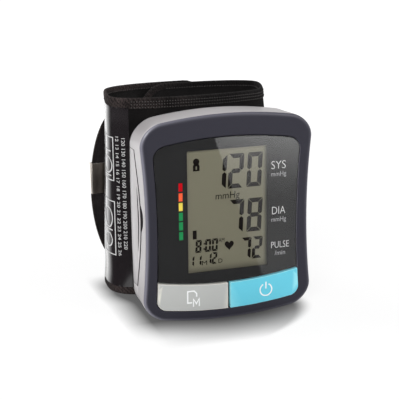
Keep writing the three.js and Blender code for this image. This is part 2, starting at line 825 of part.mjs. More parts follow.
// Cuff loop: a point at an angle and a distance inwards from the outside
function loopPoint(degrees, inwards) {
  const angle = THREE.MathUtils.degToRad(degrees);
  const spread = (value) => Math.sign(value) * Math.abs(value) ** (2 / cuffPower);
  const x = cuffHalfWidth * spread(Math.cos(angle));
  const y = cuffHalfDepth * spread(Math.sin(angle));
  const slope = (value, half) => (
    (Math.sign(value) * Math.abs(value / half) ** (cuffPower - 1)) / half);
  const normal = new THREE.Vector2(slope(x, cuffHalfWidth), slope(y, cuffHalfDepth)).normalize();
  return new THREE.Vector2(
    cuffCentreX + x - normal.x * inwards, cuffCentreY + y - normal.y * inwards);
}

// How far back the outside of the front wall lies at a place along it
function frontWallY(x) {
  const across = Math.abs((x - cuffCentreX) / cuffHalfWidth);
  return cuffCentreY - cuffHalfDepth * (1 - across ** cuffPower) ** (1 / cuffPower);
}

// The band drifts inwards past the right end, to lie inside its other end
function drift(degrees) {
  return layerStep * smooth(driftStart, driftEnd, degrees);
}

// Behind the case the cuff rises a little, and its left end leans inwards
function liftWithCuff(geometry, lean = cuffLean) {
  return reshape(geometry, (point) => {
    const behind = smooth(liftStart, liftEnd, point.y);
    const high = (point.z - bandBottom) / (bandTop - bandBottom);
    const left = Math.max(cuffCentreX - point.x, 0) / cuffHalfWidth;
    point.x += lean * behind * high * left;
    point.z += cuffLift * behind;
  });
}

// Upright strip of the loop between two angles and two depths
function strip(from, to, outer, inner, low, high, shift = drift) {
  const count = Math.ceil((to - from) / angleStep);
  const angles = Array.from({ length: count + 1 }, (_, i) => from + ((to - from) * i) / count);
  const outside = angles.map((angle) => loopPoint(angle, shift(angle) + outer));
  const inside = angles.map((angle) => loopPoint(angle, shift(angle) + inner)).reverse();
  return solid(upright(new THREE.Shape([...outside, ...inside]), low, high));
}

function lifted(body) {
  return liftWithCuff(form(body));
}

function liftedUpright(body) {
  return liftWithCuff(form(body), 0);
}

// The inner end of the band is cut square with two round corners
function innerEndTrim() {
  const right = cuffCentreX + 2 * cuffHalfWidth;
  const shape = new THREE.Shape();
  shape.moveTo(right, bandBottom - overrun);
  shape.lineTo(right, bandTop + overrun);
  shape.lineTo(innerEndX + innerEndCorner, bandTop + overrun);
  shape.lineTo(innerEndX + innerEndCorner, bandTop);
  shape.quadraticCurveTo(innerEndX, bandTop, innerEndX, bandTop - innerEndCorner);
  shape.lineTo(innerEndX, bandBottom + innerEndCorner);
  shape.quadraticCurveTo(innerEndX, bandBottom, innerEndX + innerEndCorner, bandBottom);
  shape.lineTo(innerEndX + innerEndCorner, bandBottom - overrun);
  shape.closePath();
  return solid(slab(shape, cuffCentreY, cuffCentreY + 2 * cuffHalfDepth));
}

function cuffHoles() {
  const front = cuffFront - overrun;
  const back = cuffFront + bandThickness;
  return [
    ...cuffScrewPlaces.map(([x, z]) => rodY(cuffPostRadius + seatGap, x, z, front, back)),
    rodY(nippleRadius + seatGap, manifoldX, manifoldZ, front, back),
  ];
}

function addCuffCover() {
  const half = panelGapAngle / 2;
  const panel = (from, to) => strip(from + half, to - half, 0, coverCloth, bandBottom, bandTop);
  const front = cut(panel(leftPanelStart, rightPanelStart), ...cuffHoles());
  addPiece('cuff_cover_front', lifted(front), 'cloth');
  addPiece('cuff_cover_left', lifted(panel(leftPanelEnd, leftPanelStart)), 'cloth');
  addPiece('cuff_cover_back', lifted(panel(outerEndAngle, leftPanelEnd)), 'cloth');
  addPiece('cuff_cover_right', lifted(panel(rightPanelStart, rightPanelEnd)), 'cloth');
  const innerEnd = panel(rightPanelEnd, innerEndAngle).intersect(innerEndTrim());
  addPiece('cuff_inner_end', lifted(innerEnd), 'cloth');
}

function buildLining() {
  const wall = strip(outerEndAngle, 0, liningOuter, bandThickness, bandBottom, bandTop);
  const start = strip(0, rightPanelEnd, liningOuter, bandThickness, bandBottom, bandTop);
  const end = strip(rightPanelEnd, innerEndAngle, liningOuter, bandThickness, bandBottom, bandTop);
  return lifted(join(wall, start, end.intersect(innerEndTrim())));
}

function buildStay() {
  const sheet = strip(stayFrom, stayTo, stayOuter, stayOuter + stayThickness,
    bandBottom + stayMargin, bandTop - stayMargin);
  const root = (x) => frontWallY(x) + stayOuter + stayThickness / 2;
  const posts = cuffScrewPlaces.map(([x, z]) => (
    rodY(cuffPostRadius, x, z, shellInnerBack, root(x))));
  const pilots = cuffScrewPlaces.map(([x, z]) => (
    rodY(cuffScrew.shank + screwGap, x, z, shellInnerBack - overrun, cuffFront + stayOuter, screwSides)));
  const nippleWay = rodY(nippleRadius + seatGap, manifoldX, manifoldZ, cuffFront - overrun,
    cuffFront + bandThickness);
  return lifted(cut(join(sheet, ...posts), ...pilots, nippleWay));
}

function buildBladder() {
  const bag = strip(bladderFrom, bladderTo, bladderOuter, bladderOuter + bladderThickness,
    bandBottom + bladderMargin, bandTop - bladderMargin);
  const root = frontWallY(manifoldX) + bladderOuter + bladderThickness / 2;
  const nipple = rodY(nippleRadius, manifoldX, manifoldZ, manifoldY, root);
  const bore = rodY(nippleRadius / 2, manifoldX, manifoldZ, manifoldY - overrun,
    cuffFront + bladderOuter, screwSides);
  return lifted(cut(join(bag, nipple), bore));
}

// Tape folded over an edge of the band: two legs and the web over them
function buildBinding(edge, side) {
  const web = edge + side * clothGap;
  const outside = web + side * bindingTape;
  const hem = edge - side * bindingHeight;
  const trimmed = (from, to) => {
    const piece = (outer, inner, a, b) => (
      strip(from, to, outer, inner, Math.min(a, b), Math.max(a, b)));
    return join(
      piece(-tapeReach, -clothGap, hem, outside),
      piece(bandThickness + clothGap, bandThickness + tapeReach, hem, outside),
      piece(-tapeReach, bandThickness + tapeReach, web, outside));
  };
  const startX = innerEndX + innerEndCorner;
  const keep = block(startX, cuffCentreX + 2 * cuffHalfWidth, cuffCentreY - cuffHalfDepth / 2,
    cuffCentreY + 2 * cuffHalfDepth, cuffBottom - overrun, cuffTop + overrun);
  return lifted(join(trimmed(outerEndAngle, 0), trimmed(0, innerEndAngle).intersect(keep)));
}

function buildLabelPanel() {
  const low = bandBottom + bindingHeight + clothGap;
  const high = bandTop - bindingHeight - clothGap;
  return lifted(strip(labelFrom, labelTo, -clothGap - labelThickness, -clothGap, low, high));
}

function buildStrap() {
  const strapShift = () => -strapClearance;
  const low = strapCentreZ - strapHalfHeight;
  const high = strapCentreZ + strapHalfHeight;
  const wrap = strip(strapFrom, strapTo, -strapThickness, 0, low, high, strapShift);
  const last = loopPoint(strapTo, strapShift());
  const run = block(tongueRootX + seatGap / 2, last.x + strapThickness, strapInnerY, strapOuterY,
    low, high);
  return liftedUpright(join(wrap, run));
}

function tongueOutline(grow, right) {
  const shape = new THREE.Shape();
  const halfLong = tongueCentreX - tongueTipX + grow;
  const count = 28;
  for (let i = 0; i <= count; i += 1) {
    const angle = Math.PI / 2 + (Math.PI * i) / count;
    const x = tongueCentreX + halfLong * Math.cos(angle);
    const z = strapCentreZ + (strapHalfHeight + grow) * Math.sin(angle);
    if (i === 0) shape.moveTo(Math.min(x, right), z);
    else shape.lineTo(Math.min(x, right), z);
  }
  shape.closePath();
  return shape;
}

function buildTongue() {
  const right = tongueRootX - seatGap / 2;
  const whole = solid(slab(tongueOutline(0, tongueCentreX), strapInnerY, strapOuterY));
  const side = block(tongueTipX - overrun, right, strapInnerY - overrun, strapOuterY + overrun,
    strapCentreZ - 2 * strapHalfHeight, strapCentreZ + 2 * strapHalfHeight);
  return liftedUpright(whole.intersect(side));
}

function buildTipClip() {
  const low = clipZ - clipHeight / 2;
  const high = clipZ + clipHeight / 2;
  const left = tongueTipX - seatGap - clipSheet;
  const front = strapInnerY - clothGap - clipSheet;
  const back = strapOuterY + clothGap + clipSheet;
  const whole = block(left, left + clipReach, front, back, low, high);
  const slot = block(left + clipSheet, left + clipReach + overrun, front + clipSheet,
    back - clipSheet, low - overrun, high + overrun);
  return liftedUpright(cut(whole, slot));
}

function buildHookPatch() {
  const hookGap = (strapClearance - hookThickness) / 2;
  return liftedUpright(strip(hookFrom, hookTo, -hookGap - hookThickness, -hookGap,
    strapCentreZ - hookHalfHeight, strapCentreZ + hookHalfHeight, () => 0));
}

// Monitor
addPiece('front_housing', buildFrontHousing(), 'bezel');
addPiece('display_lens', buildLens(), 'lens');
addPiece('lcd_panel', form(block(-lcdWidth / 2, lcdWidth / 2, lcdFront, lcdBack,
  lcdCentreZ - lcdHeight / 2, lcdCentreZ + lcdHeight / 2)), 'lcd');
addPiece('lcd_holder', buildLcdHolder(), 'plastic');
addPiece('elastomer_strip', buildElastomerStrip(), 'rubber');
addPiece('circuit_board', buildBoard(), 'board');
addPiece('memory_button', buildKey(-1), 'keyGrey');
addPiece('power_button', buildKey(1), 'keyBlue');
addPiece('memory_switch', buildSwitch(-1), 'plastic');
addPiece('power_switch', buildSwitch(1), 'plastic');
addPiece('rear_housing', buildRearHousing(), 'shell');
addPiece('battery_cover', buildBatteryCover(), 'shell');
addPiece('battery_cell_outer', buildCell(cellOuterX, true), 'cell');
addPiece('battery_cell_inner', buildCell(cellInnerX, false), 'cell');
addPiece('link_contact', buildLinkContact(), 'steel');
addPiece('plus_contact', buildPlusContact(), 'steel');
addPiece('minus_contact', buildMinusContact(), 'steel');
addPiece('control_chip', form(block(chipX - chipWidth / 2, chipX + chipWidth / 2,
  boardBack + seatGap, boardBack + seatGap + chipHeight,
  chipZ - chipWidth / 2, chipZ + chipWidth / 2)), 'plastic');
addPiece('buzzer', form(rodY(buzzerRadius, buzzerX, buzzerZ, boardBack + seatGap,
  boardBack + seatGap + buzzerHeight)), 'plastic');
addPiece('pump_motor', buildPumpMotor(), 'steel');
addPiece('pump_head', buildPumpHead(), 'whitePlastic');
addPiece('deflate_valve', buildValve(), 'steel');
addPiece('pressure_sensor', buildPressureSensor(), 'plastic');
addPiece('air_manifold', buildManifold(), 'whitePlastic');
addHoses();
addScrews('case_screw', caseScrew, caseScrewPlaces, caseScrewSeat + seatGap, true);
addScrews('board_screw', boardScrew, boardScrewPlaces, boardBack + seatGap, true);
addScrews('cuff_screw', cuffScrew, cuffScrewPlaces, shellInnerBack - seatGap, false);

// Cuff
addCuffCover();
addPiece('cuff_lining', buildLining(), 'cloth');
addPiece('cuff_stay', buildStay(), 'whitePlastic');
addPiece('air_bladder', buildBladder(), 'bladder');
addPiece('binding_top', buildBinding(bandTop, 1), 'tape');
addPiece('binding_bottom', buildBinding(bandBottom, -1), 'tape');
addPiece('label_panel', buildLabelPanel(), 'vinyl');
addPiece('fastening_strap', buildStrap(), 'cloth');
addPiece('hook_patch', buildHookPatch(), 'cloth');
addPiece('strap_tongue', buildTongue(), 'cloth');
addPiece('tip_clip', buildTipClip(), 'nickel');

export default monitor;
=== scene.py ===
"""Wrist blood pressure monitor with its cuff closed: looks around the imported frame.

Shapes are worked out in millimetres in the frame's own axes, +Z up and the
display facing -Y, and are made metres when a piece is finished."""

import bmesh
import bpy
import json
import math
from functools import partial
from mathutils import Matrix, Vector, noise


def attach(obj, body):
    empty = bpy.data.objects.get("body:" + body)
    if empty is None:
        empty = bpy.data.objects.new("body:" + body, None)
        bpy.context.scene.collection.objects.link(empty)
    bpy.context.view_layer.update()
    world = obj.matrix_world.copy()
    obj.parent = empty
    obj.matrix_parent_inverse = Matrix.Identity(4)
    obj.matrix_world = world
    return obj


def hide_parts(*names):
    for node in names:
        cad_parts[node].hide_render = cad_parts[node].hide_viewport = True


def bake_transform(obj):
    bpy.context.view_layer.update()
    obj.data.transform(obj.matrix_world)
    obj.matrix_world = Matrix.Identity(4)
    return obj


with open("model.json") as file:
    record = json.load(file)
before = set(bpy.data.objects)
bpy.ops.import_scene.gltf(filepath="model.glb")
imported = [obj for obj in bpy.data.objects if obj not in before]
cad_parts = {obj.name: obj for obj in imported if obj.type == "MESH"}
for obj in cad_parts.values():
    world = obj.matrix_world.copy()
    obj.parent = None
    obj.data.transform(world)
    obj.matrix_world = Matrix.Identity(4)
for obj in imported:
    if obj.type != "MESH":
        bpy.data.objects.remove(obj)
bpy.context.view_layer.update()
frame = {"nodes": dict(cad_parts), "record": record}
nodes = frame["nodes"]
scene = bpy.context.scene
MM = 0.001
METRE = 1000.0

# Case stations from front to back, as in the frame
CASE_FRONT = -13.0
BEZEL_SEAM = -12.05
SHELL_FRONT = -11.75
SIDE_END = 0.7
SHELL_INNER_BACK = 9.7
CASE_BACK = 11.5
CASE_WALL = 1.8
CASE_MIDDLE = 41.0
SIDE_BOW = 2.0
BACK_NARROWING = 4.0
BACK_LOWERING = 5.4


def outline(halves, top, bottom, arch, corner, low_corner):
    """The measures of an upright outline: half widths at top, waist and bottom, its ends and its corners."""
    half_top, half_waist, half_bottom = halves
    return dict(half_top=half_top, half_waist=half_waist, half_bottom=half_bottom, top=top,
                bottom=bottom, arch=arch, corner=corner, low_corner=low_corner)


CASE = outline((34.9, 33.3, 34.8), 82.0, -0.4, arch=2.1, corner=8.4, low_corner=8.3)
WINDOW = outline((30.1, 28.95, 29.8), 73.3, 3.6, arch=2.1, corner=4.6, low_corner=3.7)
DISPLAY_HOLE = outline((16.5, 16.5, 16.5), 68.25, 19.8, arch=0.0, corner=0.4, low_corner=0.4)
WEB_HOLE = outline((17.0, 17.0, 17.0), 68.6, 19.2, arch=0.0, corner=0.4, low_corner=0.4)
OUTLINE_STEPS = 128

# Keys and the arched line over them
DIVIDE_HEIGHT = 14.65
DIVIDE_LIFT = 2.6
DIVIDE_HALF = 28.0
KEY_FRONT = -13.3
KEY_BACK = -11.3
LENS_BACK = -12.15
LCD_FRONT = -11.4

# Cuff loop seen from above, as in the frame
LOOP_X = -5.4
LOOP_Y = 27.4
LOOP_HALF_WIDTH = 34.6
LOOP_HALF_DEPTH = 15.05
LOOP_POWER = 2.5
BAND_THICKNESS = 3.3
LAYER_STEP = 4.7
DRIFT_START, DRIFT_END = 4, 60
BAND_BOTTOM, BAND_TOP = 4.45, 84.45
CUFF_LIFT = 1.6
LIFT_START, LIFT_END = 17.0, 30.0
OUTER_END = -288
INNER_CORNER, OUTER_CORNER = 12.0, 8.0
INNER_END_X = -22.0
TAPE_HEM, INNER_HEM = 3.5, 1.7
EDGE_DRAW, EDGE_THICKNESS = 0.3, 0.9


# Shapes
def bezier(points, share):
    while len(points) > 1:
        points = [a.lerp(b, share) for a, b in zip(points, points[1:])]
    return points[0]


def smooth(low, high, value):
    share = min(max((value - low) / (high - low), 0), 1)
    return share * share * (3 - 2 * share)


def outline_curves(half_top, half_waist, half_bottom, top, bottom, arch, corner, low_corner):
    """Eight curves round an outline with arched ends, waisted sides and round corners."""
    arc_share = 0.5523
    middle = (top + bottom) / 2
    control = 2 * half_waist - (half_top + half_bottom) / 2

    def quarter(half, edge, outward, radius):
        """The arch's end, the corner's two handles and the side's end."""
        start = Vector((half - radius, edge - outward * arch))
        slope = -2 * outward * arch / start.x
        end = Vector((half, start.y + slope * radius - outward * radius))
        along = Vector((control - half, middle - end.y)).normalized()
        reach = radius * arc_share
        return [start, start + Vector((1, slope)) * reach, end - along * reach, end]

    flip = lambda point: Vector((-point.x, point.y))
    right_low = quarter(half_bottom, bottom, -1, low_corner)
    right_high = list(reversed(quarter(half_top, top, 1, corner)))
    low, low_end = right_low[0], right_low[3]
    high_end, high = right_high[0], right_high[3]
    return [
        [flip(low), Vector((0, 2 * bottom - low.y)), low],
        right_low,
        [low_end, Vector((control, middle)), high_end],
        right_high,
        [high, Vector((0, 2 * top - high.y)), flip(high)],
        [flip(p) for p in reversed(right_high)],
        [flip(high_end), Vector((-control, middle)), flip(low_end)],
        [flip(p) for p in reversed(right_low)],
    ]


def inset(form, amount):
    """The same outline, drawn in by an amount on every side."""
    smaller = dict(form)
    for key in ("half_top", "half_waist", "half_bottom", "top", "corner", "low_corner"):
        smaller[key] = form[key] - amount
    smaller["bottom"] = form["bottom"] + amount
    return smaller


def flat_ring(form, y):
    """Places round an outline that stands upright at depth y."""
    curves = outline_curves(**form)

    def place(share):
        part = share * len(curves)
        point = bezier(curves[int(part)], part % 1)
        return Vector((point.x, y, point.y))
    return place


def shell_ring(amount, y):
    """Places round the shell: waisted at the seam, bowed at the side's end, narrower at the back."""
    flat = flat_ring(inset(CASE, amount), y)
    straight = (CASE["half_top"] + CASE["half_bottom"]) / 2
    rear = min(max((y - SIDE_END) / (CASE_BACK - SIDE_END), 0), 1) ** 2

    def place(share):
        point = flat(share)
        high = (point.z - CASE_MIDDLE) / CASE_MIDDLE
        waisted = CASE["half_waist"] + (straight - CASE["half_waist"]) * min(high * high, 1)
        bowed = straight - SIDE_BOW * high * high
        filled = smooth(BEZEL_SEAM, SIDE_END, y) * (bowed / waisted - 1)
        point.x *= (1 + filled) * (1 - BACK_NARROWING / CASE["half_top"] * rear)
        point.z = max(point.z * (1 - BACK_LOWERING / (2 * CASE_MIDDLE) * rear), 0)
        return point
    return place


def loft(places, count, closed=False):
    """A skin over rings of count points, one for each place function."""
    bm = bmesh.new()
    share = bm.verts.layers.float.new("share")
    bmesh.ops.create_circle(bm, cap_ends=False, segments=count, radius=1)
    bm.verts.ensure_lookup_table()
    for i, vert in enumerate(bm.verts):
        vert[share] = i / count
        vert.co = places[0](i / count)
    first = edges = bm.edges[:]
    for place in places[1:]:
        grown = bmesh.ops.extrude_edge_only(bm, edges=edges)["geom"]
        verts = {g for g in grown if isinstance(g, bmesh.types.BMVert)}
        for vert in verts:
            vert.co = place(vert[share])
        edges = [g for g in grown if isinstance(g, bmesh.types.BMEdge) and set(g.verts) <= verts]
    if closed:
        bmesh.ops.bridge_loops(bm, edges=list(first) + edges)
    else:
        bmesh.ops.contextual_create(bm, geom=list(first))
        bmesh.ops.contextual_create(bm, geom=edges)
    bmesh.ops.recalc_face_normals(bm, faces=bm.faces)
    return bm


def sheet(across, along, place, thickness=0.0):
    """A sheet of across by along cells, each corner put at place(u, v), u and v from 0 to 1."""
    bm = bmesh.new()
    bmesh.ops.create_grid(bm, x_segments=across, y_segments=along, size=1)
    uv = bm.loops.layers.uv.new("Cloth")
    for face in bm.faces:
        for corner in face.loops:
            corner[uv].uv = ((corner.vert.co.x + 1) / 2, (corner.vert.co.y + 1) / 2)
    for vert in bm.verts:
        vert.co = place((vert.co.x + 1) / 2, (vert.co.y + 1) / 2)
    if thickness:
        bmesh.ops.solidify(bm, geom=bm.faces[:], thickness=thickness)
        bmesh.ops.recalc_face_normals(bm, faces=bm.faces)
    return bm


def block(x0, x1, y0, y1, z0, z1):
    bm = bmesh.new()
    bmesh.ops.create_cube(bm, size=1)
    bmesh.ops.scale(bm, vec=(x1 - x0, y1 - y0, z1 - z0), verts=bm.verts)
    bmesh.ops.translate(bm, vec=((x0 + x1) / 2, (y0 + y1) / 2, (z0 + z1) / 2), verts=bm.verts)
    return bm


def rod(axis, centre, radius, low, high, segments=48):
    """A cylinder along an axis ("X", "Y" or "Z") between two stations."""
    bm = bmesh.new()
    bmesh.ops.create_cone(bm, cap_ends=True, segments=segments, radius1=radius, radius2=radius,
                          depth=high - low)
    quarter = math.pi / 2
    turns = {"X": Matrix.Rotation(quarter, 3, "Y"), "Y": Matrix.Rotation(quarter, 3, "X"),
             "Z": Matrix.Identity(3)}
    bmesh.ops.rotate(bm, matrix=turns[axis], verts=bm.verts)
    middle = Vector(centre)
    middle["XYZ".index(axis)] = (low + high) / 2
    bmesh.ops.translate(bm, vec=middle, verts=bm.verts)
    return bm


def drawn_out(bm, faces, move):
    """Faces extruded by a move, which makes a flat shape solid."""
    grown = bmesh.ops.extrude_face_region(bm, geom=faces)["geom"]
    bmesh.ops.translate(bm, vec=move, verts=[g for g in grown if isinstance(g, bmesh.types.BMVert)])


def joined(*parts):
    """Several bmeshes as one."""
    whole = bmesh.new()
    for part in parts:
        carrier = bpy.data.meshes.new("carrier")
        part.to_mesh(carrier)
        part.free()
        whole.from_mesh(carrier)
        bpy.data.meshes.remove(carrier)
    return whole


def as_object(name, bm):
    bmesh.ops.scale(bm, vec=(MM, MM, MM), verts=bm.verts)
    mesh = bpy.data.meshes.new(name)
    bm.to_mesh(mesh)
    bm.free()
    piece = bpy.data.objects.new(name, mesh)
    scene.collection.objects.link(piece)
    return piece


def baked_shape(piece):
    """Applies the modifiers of a piece to its mesh."""
    bpy.context.view_layer.update()
    evaluated = piece.evaluated_get(bpy.context.evaluated_depsgraph_get())
    shaped = bpy.data.meshes.new_from_object(evaluated)
    piece.modifiers.clear()
    old, piece.data = piece.data, shaped
    bpy.data.meshes.remove(old)
    shaped.name = piece.name


def carve(piece, operation, *tools):
    cutters = [as_object("cutter", tool) for tool in tools]
    for cutter in cutters:
        step = piece.modifiers.new("carve", "BOOLEAN")
        step.operation = operation
        step.solver = "EXACT"
        step.object = cutter
    baked_shape(piece)
    for cutter in cutters:
        bpy.data.meshes.remove(cutter.data)


def soften(piece, width, segments=3, angle=35):
    """Rounds the sharp edges of a piece."""
    step = piece.modifiers.new("soften", "BEVEL")
    step.width = width * MM
    step.segments = segments
    step.limit_method = "ANGLE"
    step.angle_limit = math.radians(angle)
    step.miter_outer = "MITER_ARC"
    baked_shape(piece)


def hold_flats(piece, width):
    """Draws a line just inside each broad flat face, so that shading, edge wear and painted edge highlights
    keep to its edges.
    """
    least = 20.0
    bm = bmesh.new()
    bm.from_mesh(piece.data)
    broad = [face for face in bm.faces if face.calc_area() > least * MM * MM]
    bmesh.ops.inset_individual(bm, faces=broad, thickness=width * MM, use_even_offset=True)
    bm.to_mesh(piece.data)
    bm.free()


def finished(piece, materials, body="monitor", replaces=(), angle=40):
    """Gives a piece its materials, its smooth shading and its body."""
    mesh = piece.data
    while len(mesh.materials) < len(materials):
        mesh.materials.append(None)
    for i, material in enumerate(materials):
        mesh.materials[i] = material
    for face in mesh.polygons:
        face.use_smooth = True
    mesh.set_sharp_from_angle(angle=math.radians(angle))
    if body:
        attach(piece, body)
    if replaces:
        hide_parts(*replaces)
    return piece


# Material groups
def group(name, inputs, outputs):
    tree = bpy.data.node_groups.new(name, "ShaderNodeTree")
    for label, kind, value in inputs:
        socket = tree.interface.new_socket(label, in_out="INPUT", socket_type=kind)
        if value is not None:
            socket.default_value = value
    for label, kind in outputs:
        tree.interface.new_socket(label, in_out="OUTPUT", socket_type=kind)
    return tree, tree.nodes.new("NodeGroupInput"), tree.nodes.new("NodeGroupOutput")


def node(tree, kind, links=(), **settings):
    """A node with its settings, and its inputs by number or name as values or linked sockets."""
    made = tree.nodes.new(kind)
    for key, value in settings.items():
        setattr(made, key, value)
    for key, value in dict(links).items():
        if isinstance(value, bpy.types.NodeSocket):
            tree.links.new(value, made.inputs[key])
        else:
            made.inputs[key].default_value = value
    return made


def sums(tree, operation, *values):
    return node(tree, "ShaderNodeMath", dict(enumerate(values)), operation=operation).outputs[0]


def object_place(tree):
    return node(tree, "ShaderNodeTexCoord").outputs["Object"]


def split(tree, vector):
    """The X, Y and Z of a vector."""
    return node(tree, "ShaderNodeSeparateXYZ", {0: vector}).outputs


def facing(tree):
    """The direction that the surface faces, as X, Y and Z."""
    return split(tree, node(tree, "ShaderNodeNewGeometry").outputs["Normal"])


def ranged(tree, value, low, high, start=0.0, end=1.0, eased=False):
    """A value between low and high, made start to end and held beyond them."""
    return node(tree, "ShaderNodeMapRange", {
        "Value": value, "From Min": low, "From Max": high, "To Min": start, "To Max": end},
        interpolation_type="SMOOTHSTEP" if eased else "LINEAR").outputs[0]


def cloudy(tree, scale, detail):
    """Noise over the piece, with its scale to the metre."""
    return node(tree, "ShaderNodeTexNoise", {
        "Vector": object_place(tree), "Scale": scale, "Detail": detail}).outputs[0]


def vectors(tree, operation, *values):
    return node(tree, "ShaderNodeVectorMath", dict(enumerate(values)), operation=operation).outputs


def grain_group():
    """Fine moulded grain: a height, and a slow mottle for roughness and colour."""
    tree, inside, out = group("Grain", [
        ("Size", "NodeSocketFloat", 0.3), ("Mottle size", "NodeSocketFloat", 12.0)],
        [("Height", "NodeSocketFloat"), ("Mottle", "NodeSocketFloat")])
    fine = cloudy(tree, sums(tree, "DIVIDE", METRE, inside.outputs["Size"]), 2.0)
    slow = cloudy(tree, sums(tree, "DIVIDE", METRE, inside.outputs["Mottle size"]), 4.0)
    tree.links.new(fine, out.inputs["Height"])
    tree.links.new(slow, out.inputs["Mottle"])
    return tree


def wear_group():
    """Convex edges: 1 where an edge has lost its finish on the shell, and where it carries a painted highlight
    on the keys.
    """
    tree, inside, out = group("Edge wear and highlight", [
        ("Start", "NodeSocketFloat", 0.52), ("Full", "NodeSocketFloat", 0.6),
        ("Patch size", "NodeSocketFloat", 4.0)], [("Wear and highlight", "NodeSocketFloat")])
    edge = node(tree, "ShaderNodeNewGeometry").outputs["Pointiness"]
    wear_and_highlight_mask = ranged(tree, edge, inside.outputs["Start"], inside.outputs["Full"])
    patch = cloudy(tree, sums(tree, "DIVIDE", METRE, inside.outputs["Patch size"]), 3.0)
    tree.links.new(sums(tree, "MULTIPLY", wear_and_highlight_mask, patch), out.inputs["Wear and highlight"])
    return tree


def dust_group():
    """Faint dust on faces that look up."""
    tree, inside, out = group("Dust", [("Amount", "NodeSocketFloat", 0.1)], [("Dusty", "NodeSocketFloat")])
    upward = ranged(tree, facing(tree)[2], 0.3, 1.0)
    share = sums(tree, "MULTIPLY", upward, cloudy(tree, 900.0, 5.0))
    tree.links.new(sums(tree, "MULTIPLY", share, inside.outputs["Amount"]), out.inputs["Dusty"])
    return tree


def weave_group():
    """Plain weave on a piece's own map, in threads across and along: a height and a thread shade."""
    tree, inside, out = group("Weave", [
        ("Across", "NodeSocketFloat", 100.0), ("Along", "NodeSocketFloat", 100.0),
        ("Slant", "NodeSocketFloat", 0.0)], [("Height", "NodeSocketFloat"), ("Thread", "NodeSocketFloat")])
    at = split(tree, node(tree, "ShaderNodeUVMap", uv_map="Cloth").outputs[0])
    u, v = (sums(tree, "MULTIPLY", sums(tree, "MULTIPLY", at[i], inside.outputs[threads]), math.tau)
            for i, threads in enumerate(("Across", "Along")))
    slanted = sums(tree, "ADD", u, sums(tree, "MULTIPLY", v, inside.outputs["Slant"]))
    warp, weft = sums(tree, "SINE", slanted), sums(tree, "SINE", v)
    cross = sums(tree, "MULTIPLY", warp, weft)
    threads = sums(tree, "MAXIMUM", sums(tree, "ABSOLUTE", warp), sums(tree, "ABSOLUTE", weft))
    height = sums(tree, "ADD", sums(tree, "MULTIPLY", cross, 0.5), threads)
    fuzz = cloudy(tree, 2600.0, 3.0)
    tree.links.new(sums(tree, "ADD", height, fuzz), out.inputs["Height"])
    tree.links.new(sums(tree, "MULTIPLY", threads, fuzz), out.inputs["Thread"])
    return tree


GRAIN, EDGE_WEAR_AND_HIGHLIGHT, DUST, WEAVE = grain_group(), wear_group(), dust_group(), weave_group()


def base(name, roughness, **sockets):
    """A material with its Principled shader, and constants set on the shader's own sockets."""
    material = bpy.data.materials.new(name)
    material.use_nodes = True
    shader = material.node_tree.nodes["Principled BSDF"]
    shader.inputs["Roughness"].default_value = roughness
    for key, value in sockets.items():
        shader.inputs[key.replace("_", " ")].default_value = value
    return material, material.node_tree, shader


def shade(tree, low, high, share):
    """A colour between two, by a share."""
    return blended(tree, (*low, 1), high, share)


def blended(tree, under, over, share):
    """A colour laid over another where the share is 1."""
    return node(tree, "ShaderNodeMix", {"Factor": share, "A": under, "B": (*over, 1)},
                data_type="RGBA").outputs["Result"]


def placed(tree, source, **values):
    """A group in a material, with the material's own values."""
    return node(tree, "ShaderNodeGroup", {key.replace("_", " "): value for key, value in values.items()},
                node_tree=source)


def bumped(tree, shader, height, distance):
    bump = node(tree, "ShaderNodeBump", {"Height": height, "Distance": distance * MM, "Strength": 1.0})
    tree.links.new(bump.outputs[0], shader.inputs["Normal"])


def coated(tree, shader, colour, roughness=None):
    tree.links.new(colour, shader.inputs["Base Color"])
    if roughness is not None:
        tree.links.new(roughness, shader.inputs["Roughness"])


DUST_ON_PLASTIC, DUST_ON_CLOTH = (0.6, 0.58, 0.55), (0.3, 0.28, 0.27)


def plastic(name, low, high, roughness, grain=0.25, depth=0.01, wear_and_highlight_colour=None, edge=(0.51, 0.55), dust=0.05,
            **sockets):
    """Moulded plastic: two close shades, fine grain, a paler colour on convex edges and a little dust; the
    paler edges are rubbed wear on the shell and a painted highlight on the keys.
    """
    material, tree, shader = base(name, roughness, **sockets)
    texture = placed(tree, GRAIN, Size=grain).outputs
    colour = shade(tree, low, high, texture["Mottle"])
    if wear_and_highlight_colour:
        wear_and_highlight_mask = placed(tree, EDGE_WEAR_AND_HIGHLIGHT, Start=edge[0], Full=edge[1])
        colour = blended(tree, colour, wear_and_highlight_colour, wear_and_highlight_mask.outputs["Wear and highlight"])
    if dust:
        colour = blended(tree, colour, DUST_ON_PLASTIC, placed(tree, DUST, Amount=dust).outputs["Dusty"])
    rough = ranged(tree, texture["Mottle"], 0.0, 1.0, roughness * 0.85, roughness * 1.15)
    coated(tree, shader, colour, rough)
    if depth:
        bumped(tree, shader, texture["Height"], depth)
    return material


def printed(name, low, high):
    """Flat ink or print: two close shades, no relief and no shine."""
    return plastic(name, low, high, 0.6, depth=0, dust=0, Specular_IOR_Level=0.0)


